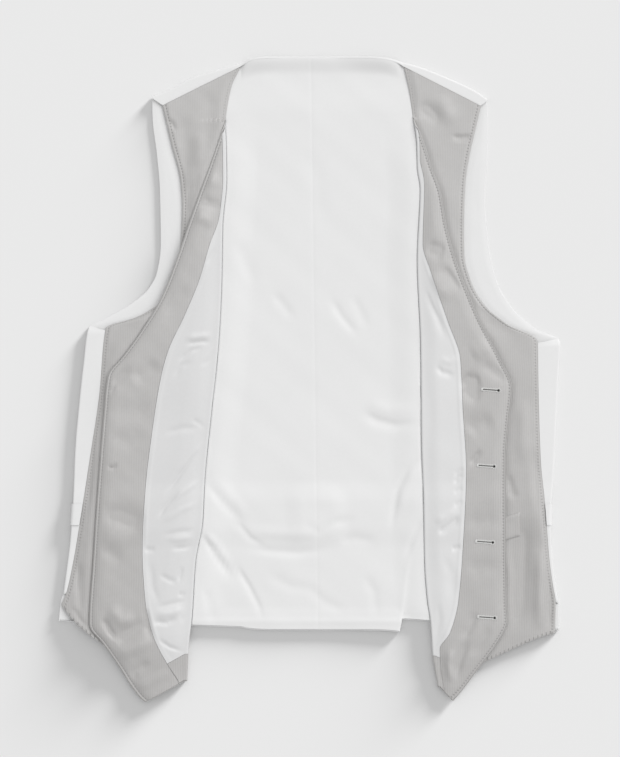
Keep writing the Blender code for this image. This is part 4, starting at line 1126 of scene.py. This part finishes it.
def thread_mesh(name, stitches, material):
    """Short threads, each as (centre, way it lies, length, radius) in metres."""
    points, faces = [], []
    for centre, way, length, radius in stitches:
        way = Vector(way).normalized()
        across = way.cross(Vector((0.0, 0.0, 1.0))).normalized()
        up = across.cross(way)
        start = len(points)
        for at, share in THREAD_RINGS:
            for k in range(THREAD_SIDES):
                angle = math.pi * k / (THREAD_SIDES / 2)
                aside = across * math.cos(angle) + up * math.sin(angle)
                points.append(Vector(centre) + way * (at * length) + aside * (share * radius))
        for low in range(start, len(points) - THREAD_SIDES, THREAD_SIDES):
            for k in range(THREAD_SIDES):
                a, b = low + k, low + (k + 1) % THREAD_SIDES
                faces.append((a, b, b + THREAD_SIDES, a + THREAD_SIDES))
        faces.append(tuple(start + k for k in reversed(range(THREAD_SIDES))))
        faces.append(tuple(range(len(points) - THREAD_SIDES, len(points))))
    mesh = bpy.data.meshes.new(name)
    mesh.from_pydata(points, [], faces)
    mesh.materials.append(material)
    mesh.shade_smooth()
    return new_object(name, mesh)


def stitches_along(path, along):
    """One pick stitch at each pitch of the line's length, lying along the line."""
    stitches = []
    path = np.array(path)
    for at in np.arange(along[0] + FIRST_STITCH * PICK_PITCH, along[-1], PICK_PITCH):
        centre = [np.interp(at, along, path[:, k]) for k in range(3)]
        ahead = [np.interp(at + 1.0, along, path[:, k]) for k in range(3)]
        behind = [np.interp(at - 1.0, along, path[:, k]) for k in range(3)]
        way = np.subtract(ahead, behind)
        if np.linalg.norm(way) > 0:
            stitches.append((centre, way, PICK_LENGTH * MM, PICK_RADIUS * MM))
    return stitches


def pick_stitches(front, name):
    """The hand-look stitching by the armhole, the V and front edge, and the hem."""
    top = SUITING_THICK / 2 * MM
    stitches = []
    underarm = front.row_index("underarm")
    path = [front.surface(row, [PICK_INSET - row["width"]])[0] for row in front.rows[:underarm]]
    path = np.array(path) + (0.0, 0.0, top)
    stitches += stitches_along(path, front.side_along[:underarm])
    edges = (("shoulder", "break", 0.0, "shell"), ("turned", "hem", LAYER, "facing"))
    for start, end, offset, cloth in edges:
        rows = range(front.row_index(start), front.row_index(end) + 1)
        path = []
        for i in rows:
            row = front.rows[i]
            length = max(row["past bend"] - PICK_INSET, -PICK_INSET)
            path.append(front.surface(row, [length], offset, cloth)[0])
        path = np.array(path) + (0.0, 0.0, top)
        along = arc_lengths(path) + front.edge_along[rows[0]]
        stitches += stitches_along(path, along)
    row = front.rows[-1]
    shown = -(row["width"] - np.arange(HEM_STITCH_PITCH, HEM_STITCHED, HEM_STITCH_PITCH))
    above, below = (front.surface(row, shown, slip=slip) for slip in (-HEM_STITCH, GAP))
    for a, b in zip(above + (0.0, 0.0, top), below + (0.0, 0.0, top)):
        stitches.append(((a + b) / 2, b - a, HEM_STITCH * MM, HEM_RADIUS * MM))
    return thread_mesh(name, stitches, grey_thread)


def keyhole_outline(count):
    """A buttonhole's edge from its inner end, round the eye and back, with the way out of it."""
    start = math.asin(HOLE_SLIT / 2 / HOLE_EYE)
    neck = -HOLE_EYE * math.cos(start)
    places = [((x, -HOLE_SLIT / 2), (0.0, -1.0)) for x in steps(-HOLE_LENGTH, neck, count)]
    for angle in steps(math.pi + start, 3 * math.pi - start, EYE_STEPS)[1:-1]:
        way = (math.cos(angle), math.sin(angle))
        places.append(((HOLE_EYE * way[0], HOLE_EYE * way[1]), way))
    places += [((x, HOLE_SLIT / 2), (0.0, 1.0)) for x in steps(neck, -HOLE_LENGTH, count)]
    return places


def on_buttonhole(front, number, along, across):
    """A place by a buttonhole, in metres, on the facing."""
    eye_out, eye_drop = HOLE_OUTS[number], BUTTON_DROPS[number]
    out = eye_out + along * math.cos(HOLE_TILT) - across * math.sin(HOLE_TILT)
    drop = eye_drop - along * math.sin(HOLE_TILT) - across * math.cos(HOLE_TILT)
    row = min(front.rows, key=lambda row: abs(row["fold"] - drop))
    length = row["half turn"] + out - row["bend out"]
    point = front.surface(row, [length], LAYER, "facing")[0]
    return np.array((front.side * out * MM, (CENTRE_DROP - drop) * MM, point[2]))


def buttonhole_stitching(front, name):
    stitches = []
    radius = TWIST_RADIUS * MM
    lift = (0.0, 0.0, (SUITING_THICK / 2 + TWIST_LIFT) * MM)
    for number in range(len(BUTTON_DROPS)):
        for (along, across), way in keyhole_outline(EDGE_STITCHES):
            inner, outer = (
                on_buttonhole(front, number, along + reach * way[0], across + reach * way[1])
                for reach in (TWIST_START, TWIST_END)
            )
            middle = (inner + outer) / 2 + lift
            stitches.append((middle, outer - inner, TWIST_LENGTH * MM, radius))
        for step in steps(-BAR_SPREAD, BAR_SPREAD, BAR_STITCHES):
            low, high = (
                on_buttonhole(front, number, step - HOLE_LENGTH, across)
                for across in (-BAR_HALF, BAR_HALF)
            )
            middle = (low + high) / 2 + lift + (0.0, 0.0, BAR_LIFT * MM)
            stitches.append((middle, high - low, 2 * BAR_HALF * MM, radius))
    return thread_mesh(name, stitches, silk_twist)


def buttonhole_cutter(front):
    shape = bmesh.new()
    for number in range(len(BUTTON_DROPS)):
        verts = []
        for (along, across), _ in keyhole_outline(1):
            point = on_buttonhole(front, number, along, across)
            verts.append(shape.verts.new(point - (0.0, 0.0, CUT_BELOW * MM)))
        face = shape.faces.new(verts)
        top = bmesh.ops.extrude_face_region(shape, geom=[face])["geom"]
        moved = [v for v in top if isinstance(v, bmesh.types.BMVert)]
        bmesh.ops.translate(shape, vec=(0.0, 0.0, CUT_DEPTH * MM), verts=moved)
    bmesh.ops.recalc_face_normals(shape, faces=shape.faces)
    mesh = bpy.data.meshes.new("buttonhole_cutter")
    shape.to_mesh(mesh)
    shape.free()
    return new_object("buttonhole_cutter", mesh)


def cut_buttonholes(cutter, *cloths):
    for cloth in cloths:
        hole = cloth.modifiers.new("buttonholes", "BOOLEAN")
        hole.operation = "DIFFERENCE"
        hole.solver = "EXACT"
        hole.object = cutter
        fix_modifiers(cloth)
    bpy.data.objects.remove(cutter)


def button_threads(front, name):
    """The threads that hold each button, on its outer face."""
    stitches = []
    (length, radius), (aside, up) = BUTTON_THREAD, BUTTON_THREAD_PLACE
    for number in range(1, len(BUTTON_DROPS) + 1):
        low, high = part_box(f"button_{number}")
        middle = (low + high) / 2
        for shift in (-aside, aside):
            centre = (middle.x + shift * MM, middle.y, low.z + up * MM)
            stitches.append((centre, (0.0, 1.0, 0.0), length * MM, radius * MM))
    return thread_mesh(name, stitches, grey_thread)


def node_group(name, inputs, outputs):
    """An empty shader group with named sockets, each input with its default."""
    group = bpy.data.node_groups.new(name, "ShaderNodeTree")
    for label, kind, default in inputs:
        made = group.interface.new_socket(label, in_out="INPUT", socket_type=kind)
        if default is not None:
            made.default_value = default
    for label, kind in outputs:
        group.interface.new_socket(label, in_out="OUTPUT", socket_type=kind)
    return group, group.nodes.new("NodeGroupInput"), group.nodes.new("NodeGroupOutput")


def math_node(tree, operation, first, second=None):
    node = tree.nodes.new("ShaderNodeMath")
    node.operation = operation
    for socket, value in zip(node.inputs, (first, second)):
        if value is None:
            continue
        if isinstance(value, (int, float)):
            socket.default_value = value
        else:
            tree.links.new(value, socket)
    return node.outputs[0]


def waved(tree, turns, operation="SINE"):
    """A wave that repeats once in each turn."""
    return math_node(tree, operation, math_node(tree, "MULTIPLY", turns, 2 * math.pi))


def woven_stripe_group():
    """Self-coloured stripes down the cloth, with the twill of its threads."""
    inputs = (
        ("Position", "NodeSocketVector", None),
        ("Stripe Pitch", "NodeSocketFloat", 0.0024),
        ("Thread Pitch", "NodeSocketFloat", 0.0006),
    )
    outputs = (("Stripe", "NodeSocketFloat"), ("Threads", "NodeSocketFloat"))
    group, given, made = node_group("woven_stripe", inputs, outputs)
    split = group.nodes.new("ShaderNodeSeparateXYZ")
    group.links.new(given.outputs["Position"], split.inputs[0])
    x, y = split.outputs["X"], split.outputs["Y"]
    drift = group.nodes.new("ShaderNodeTexNoise")
    drift.inputs["Scale"].default_value = DRIFT_SCALE
    drift.inputs["Detail"].default_value = 1.0
    group.links.new(given.outputs["Position"], drift.inputs["Vector"])
    shift = math_node(group, "MULTIPLY", drift.outputs["Fac"], STRIPE_DRIFT)
    shifted = math_node(group, "ADD", x, shift)
    turns = math_node(group, "DIVIDE", shifted, given.outputs["Stripe Pitch"])
    stripe = math_node(group, "ADD", math_node(group, "MULTIPLY", waved(group, turns), 0.5), 0.5)
    group.links.new(stripe, made.inputs["Stripe"])
    thread_pitch = given.outputs["Thread Pitch"]
    diagonal = math_node(group, "DIVIDE", math_node(group, "ADD", x, y), thread_pitch)
    weft_pitch = math_node(group, "MULTIPLY", thread_pitch, WEFT_SHARE)
    weft = waved(group, math_node(group, "DIVIDE", y, weft_pitch))
    twill = waved(group, diagonal)
    threads = math_node(group, "ADD", twill, math_node(group, "MULTIPLY", weft, 0.5))
    threads = math_node(group, "ADD", math_node(group, "MULTIPLY", threads, THREAD_CONTRAST), 0.5)
    group.links.new(threads, made.inputs["Threads"])
    return group


def stitch_pucker_group():
    """Dimples at each stitch beside an edge, from the place along it and the distance in."""
    inputs = (
        ("Inset", "NodeSocketFloat", PICK_INSET),
        ("Spread", "NodeSocketFloat", 0.9),
        ("Pitch", "NodeSocketFloat", PICK_PITCH),
    )
    group, given, made = node_group("stitch_pucker", inputs, (("Dimple", "NodeSocketFloat"),))
    place = group.nodes.new("ShaderNodeUVMap")
    place.uv_map = "stitch_line"
    split = group.nodes.new("ShaderNodeSeparateXYZ")
    group.links.new(place.outputs[0], split.inputs[0])
    away = math_node(group, "SUBTRACT", split.outputs["Y"], given.outputs["Inset"])
    near = math_node(group, "DIVIDE", away, given.outputs["Spread"])
    squared = math_node(group, "MULTIPLY", near, near)
    beside = math_node(group, "EXPONENT", math_node(group, "MULTIPLY", squared, -1.0))
    turns = math_node(group, "DIVIDE", split.outputs["X"], given.outputs["Pitch"])
    wave = math_node(group, "MULTIPLY", waved(group, turns, "COSINE"), 0.5)
    dots = math_node(group, "POWER", math_node(group, "SUBTRACT", 0.5, wave), DIMPLE_POWER)
    group.links.new(math_node(group, "MULTIPLY", beside, dots), made.inputs["Dimple"])
    return group


def mottle_group():
    """Slow uneven tone, as of pressing and handling, with finer slubs in it."""
    inputs = (
        ("Position", "NodeSocketVector", None),
        ("Patch Scale", "NodeSocketFloat", 18.0),
        ("Slub Scale", "NodeSocketFloat", 400.0),
    )
    group, given, made = node_group("mottle", inputs, (("Tone", "NodeSocketFloat"),))
    noises = []
    for scale, detail in (("Patch Scale", 3.0), ("Slub Scale", 2.0)):
        noise = group.nodes.new("ShaderNodeTexNoise")
        noise.inputs["Detail"].default_value = detail
        group.links.new(given.outputs["Position"], noise.inputs["Vector"])
        group.links.new(given.outputs[scale], noise.inputs["Scale"])
        noises.append(noise.outputs["Fac"])
    patches, slubs = (
        math_node(group, "MULTIPLY", noise, share) for noise, share in zip(noises, MOTTLE_SHARES)
    )
    tone = math_node(group, "ADD", patches, slubs)
    group.links.new(tone, made.inputs["Tone"])
    return group


woven_stripe = woven_stripe_group()
stitch_pucker = stitch_pucker_group()
mottle = mottle_group()


def placed(tree, group, position=None, **values):
    node = tree.nodes.new("ShaderNodeGroup")
    node.node_tree = group
    if position is not None:
        tree.links.new(position, node.inputs["Position"])
    for label, value in values.items():
        node.inputs[label.replace("_", " ")].default_value = value
    return node


def new_material(name, roughness, metallic=0.0, sheen=0.0):
    material = bpy.data.materials.new(name)
    material.use_nodes = True
    tree = material.node_tree
    shader = tree.nodes["Principled BSDF"]
    shader.inputs["Roughness"].default_value = roughness
    shader.inputs["Metallic"].default_value = metallic
    shader.inputs["Sheen Weight"].default_value = sheen
    position = tree.nodes.new("ShaderNodeTexCoord").outputs["Object"]
    return material, tree, shader, position


def mixed_colour(tree, factor, low, high):
    node = tree.nodes.new("ShaderNodeMix")
    node.data_type = "RGBA"
    # A colour mix has its colours in inputs 6 and 7 and its result in output 2.
    for socket, value in ((node.inputs[6], low), (node.inputs[7], high)):
        if isinstance(value, tuple):
            socket.default_value = (*value, 1.0)
        else:
            tree.links.new(value, socket)
    tree.links.new(factor, node.inputs[0])
    return node.outputs[2]


def ranged(tree, value, low, high):
    node = tree.nodes.new("ShaderNodeMapRange")
    node.inputs["To Min"].default_value = low
    node.inputs["To Max"].default_value = high
    tree.links.new(value, node.inputs["Value"])
    return node.outputs[0]


def bump(tree, shader, height, distance):
    node = tree.nodes.new("ShaderNodeBump")
    node.inputs["Distance"].default_value = distance
    node.inputs["Strength"].default_value = 1.0
    tree.links.new(height, node.inputs["Height"])
    tree.links.new(node.outputs[0], shader.inputs["Normal"])


def grey_suiting():
    material, tree, shader, position = new_material("grey_suiting", 0.62, sheen=0.12)
    weave = placed(tree, woven_stripe, position)
    patches = placed(tree, mottle, position, Patch_Scale=22.0, Slub_Scale=420.0)
    dimples = placed(tree, stitch_pucker, Spread=0.75)
    tone = ranged(tree, patches.outputs["Tone"], 0.0, 1.0)
    split = tree.nodes.new("ShaderNodeSeparateXYZ")
    tree.links.new(position, split.inputs[0])
    # Lighter towards the neck: partly the cloth's own tone, partly painted shade towards the hem.
    towards_neck = math_node(tree, "MULTIPLY", split.outputs["Y"], LIGHTER_TO_NECK)
    tone = math_node(tree, "ADD", tone, towards_neck)
    colour = mixed_colour(tree, tone, SUITING_DARK, SUITING_LIGHT)
    stripe = ranged(tree, weave.outputs["Stripe"], 0.0, STRIPE_SHARE)
    striped = mixed_colour(tree, stripe, colour, SUITING_STRIPE)
    # Painted shade: the suiting is darkened in the dimple at each stitch.
    shaded = ranged(tree, dimples.outputs["Dimple"], 0.0, DIMPLE_SHADE_SHARE)
    dimple_shaded = mixed_colour(tree, shaded, striped, SUITING_SHADE)
    tree.links.new(dimple_shaded, shader.inputs["Base Color"])
    tree.links.new(ranged(tree, weave.outputs["Stripe"], 0.54, 0.44), shader.inputs["Roughness"])
    shader.inputs["Specular IOR Level"].default_value = 0.75
    threads = math_node(tree, "MULTIPLY", weave.outputs["Threads"], 0.5)
    sunk = math_node(tree, "MULTIPLY", dimples.outputs["Dimple"], -3.0)
    bump(tree, shader, math_node(tree, "ADD", threads, sunk), 0.00012)
    return material


def satin(name, shade, light):
    material, tree, shader, position = new_material(name, 0.4, sheen=0.05)
    stretched = tree.nodes.new("ShaderNodeMapping")
    stretched.inputs["Scale"].default_value = (1.0, 6.0, 1.0)
    tree.links.new(position, stretched.inputs["Vector"])
    patches = placed(tree, mottle, position, Patch_Scale=12.0, Slub_Scale=300.0)
    floats = placed(
        tree, woven_stripe, stretched.outputs[0], Stripe_Pitch=0.0011, Thread_Pitch=0.0005
    )
    colour = mixed_colour(tree, patches.outputs["Tone"], shade, light)
    tree.links.new(colour, shader.inputs["Base Color"])
    tree.links.new(ranged(tree, patches.outputs["Tone"], 0.34, 0.48), shader.inputs["Roughness"])
    bump(tree, shader, floats.outputs["Threads"], 0.00002)
    return material


def plain_thread(name, colour, shade, roughness):
    material, tree, shader, position = new_material(name, roughness, sheen=0.1)
    twist = placed(tree, woven_stripe, position, Stripe_Pitch=0.0009, Thread_Pitch=0.00035)
    mixed = mixed_colour(tree, twist.outputs["Threads"], shade, colour)
    tree.links.new(mixed, shader.inputs["Base Color"])
    bump(tree, shader, twist.outputs["Threads"], 0.00005)
    return material


def button_plastic():
    material, tree, shader, position = new_material("button_plastic", 0.25)
    swirl = placed(tree, mottle, position, Patch_Scale=140.0, Slub_Scale=900.0)
    colour = mixed_colour(tree, swirl.outputs["Tone"], *BUTTON_TONES)
    tree.links.new(colour, shader.inputs["Base Color"])
    tree.links.new(ranged(tree, swirl.outputs["Tone"], 0.18, 0.34), shader.inputs["Roughness"])
    return material


def buckle_steel():
    material, tree, shader, position = new_material("buckle_steel", 0.3, metallic=1.0)
    brushed = placed(tree, mottle, position, Patch_Scale=90.0, Slub_Scale=1500.0)
    colour = mixed_colour(tree, brushed.outputs["Tone"], *STEEL_TONES)
    tree.links.new(colour, shader.inputs["Base Color"])
    tree.links.new(ranged(tree, brushed.outputs["Tone"], 0.22, 0.42), shader.inputs["Roughness"])
    bump(tree, shader, brushed.outputs["Tone"], 0.00003)
    return material


def soft_light(name, strength, spread, azimuth, elevation):
    light = bpy.data.lights.new(name, "SUN")
    light.energy = strength
    light.angle = math.radians(spread)
    lamp = new_object(name, light)
    azimuth, elevation = math.radians(azimuth), math.radians(elevation)
    towards = Vector((
        math.cos(elevation) * math.cos(azimuth),
        math.cos(elevation) * math.sin(azimuth),
        math.sin(elevation),
    ))
    lamp.rotation_euler = towards.to_track_quat("Z", "Y").to_euler()
    return lamp


def studio():
    scene = bpy.context.scene
    scene.view_settings.view_transform = "Standard"
    scene.view_settings.look = "None"
    world = bpy.data.worlds.new("studio")
    scene.world = world
    world.use_nodes = True
    background = world.node_tree.nodes["Background"]
    background.inputs["Color"].default_value = (1.0, 1.0, 1.0, 1.0)
    background.inputs["Strength"].default_value = AMBIENT
    key = soft_light("key", *KEY_LIGHT)
    ground = soft_light("ground_light", *GROUND_LIGHT)
    mesh = bpy.data.meshes.new("floor")
    half = FLOOR_HALF
    corners = [(-half, -half, 0.0), (half, -half, 0.0), (half, half, 0.0), (-half, half, 0.0)]
    mesh.from_pydata(corners, [], [(0, 1, 2, 3)])
    material, _, shader, _ = new_material("pale_floor", 0.9)
    shader.inputs["Specular IOR Level"].default_value = 0.0
    shader.inputs["Base Color"].default_value = (FLOOR_TONE, FLOOR_TONE, FLOOR_TONE, 1.0)
    mesh.materials.append(material)
    floor = new_object("floor", mesh)
    for lamp, state in ((ground, "INCLUDE"), (key, "EXCLUDE")):
        lit = bpy.data.collections.new(f"lit_by_{lamp.name}")
        lit.objects.link(floor)
        lit.collection_objects[0].light_linking.link_state = state
        lamp.light_linking.receiver_collection = lit
    lens = bpy.data.cameras.new("camera")
    lens.sensor_width = SENSOR_WIDTH
    lens.lens = SENSOR_WIDTH * CAMERA_HEIGHT / FRAME_LENGTH
    lens.clip_end = CLIP_END
    scene.camera = new_object("camera", lens)
    scene.camera.location = (CAMERA_PLACE[0] * MM, CAMERA_PLACE[1] * MM, CAMERA_HEIGHT)


def place_piece(piece, slot, *nodes):
    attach(piece, "root")
    if nodes:
        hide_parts(*nodes)


studio()
suiting = grey_suiting()
white_satin = satin("white_satin", *SATIN_TONES)
# The fronts' linings: the white satin with painted shade.
shaded_lining_satins = {
    -1: satin("right_lining_satin", *RIGHT_LINING_SHADED_TONES),
    1: satin("left_lining_satin", *LEFT_LINING_SHADED_TONES),
}
grey_thread = plain_thread("grey_thread", *GREY_THREAD, 0.6)
silk_twist = plain_thread("silk_twist", *SILK_TWIST, 0.45)

right_looks = {
    "lining": RIGHT_LINING_CREASES, "lining puff": 1.3,
    "facing": RIGHT_FACING_CREASES, "facing puff": 1.7, "room": 0.5,
    "outer": RIGHT_OUTER_CREASES, "outer puff": 1.0,
    "rise": 2.5, "rise span": 26.0, "edge fall": 1.4, "outer lift": 3.0,
}
left_looks = {
    "lining": LEFT_LINING_CREASES, "lining puff": 1.3,
    "facing": LEFT_FACING_CREASES, "facing puff": 1.5, "room": 0.5,
    "outer": LEFT_OUTER_CREASES, "outer puff": 0.8,
    "rise": 1.0, "rise span": 18.0, "edge fall": 0.5, "outer lift": 0.5,
}
right_front = Front(-1, RIGHT_FRONT, RIGHT_LEVELS, RIGHT_RADIUS, right_looks)
left_front = Front(1, LEFT_FRONT, LEFT_LEVELS, LEFT_RADIUS, left_looks)
right_back = Back(-1, RIGHT_BACK, RIGHT_BACK_LEVELS, RIGHT_BACK_HEM, right_front)
left_back = Back(1, LEFT_BACK, LEFT_BACK_LEVELS, LEFT_BACK_HEM, left_front)

pieces = {}
for half, front, back, welt in (
    ("left", left_front, left_back, LEFT_WELT),
    ("right", right_front, right_back, RIGHT_WELT),
):
    makers = (
        ("back_shell", back_shell, back), ("back_lining", back_lining, back),
        ("back_strap", strap_half, back), ("front_shell", front_shell, front),
        ("front_lining", front_lining, front), ("front_facing", front_facing, front),
        ("hem_turnup", hem_turnup, front),
    )
    for kind, maker, shape in makers:
        pieces[f"{kind}_{half}"] = maker(shape, f"{kind}_cloth_{half}")
    pieces[f"pocket_welt_{half}"] = pocket_welt(front, f"pocket_welt_cloth_{half}", welt)

cutter = buttonhole_cutter(left_front)
cut_buttonholes(cutter, pieces["front_shell_left"], pieces["front_facing_left"])

for node, piece in pieces.items():
    fix_modifiers(piece)
    grey = node.startswith(GREY_CLOTHS)
    place_piece(piece, "grey_suiting" if grey else "white_satin", node)

for half, front in (("left", left_front), ("right", right_front)):
    place_piece(pick_stitches(front, f"pick_stitching_{half}"), "grey_suiting")
place_piece(buttonhole_stitching(left_front, "buttonhole_stitching"), "grey_suiting")
place_piece(button_threads(right_front, "button_threads"), "grey_suiting")

plastic, steel = button_plastic(), buckle_steel()
for name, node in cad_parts.items():
    if name.startswith("button"):
        node.material_slots[0].material = plastic
    if name == "strap_buckle":
        node.material_slots[0].material = steel
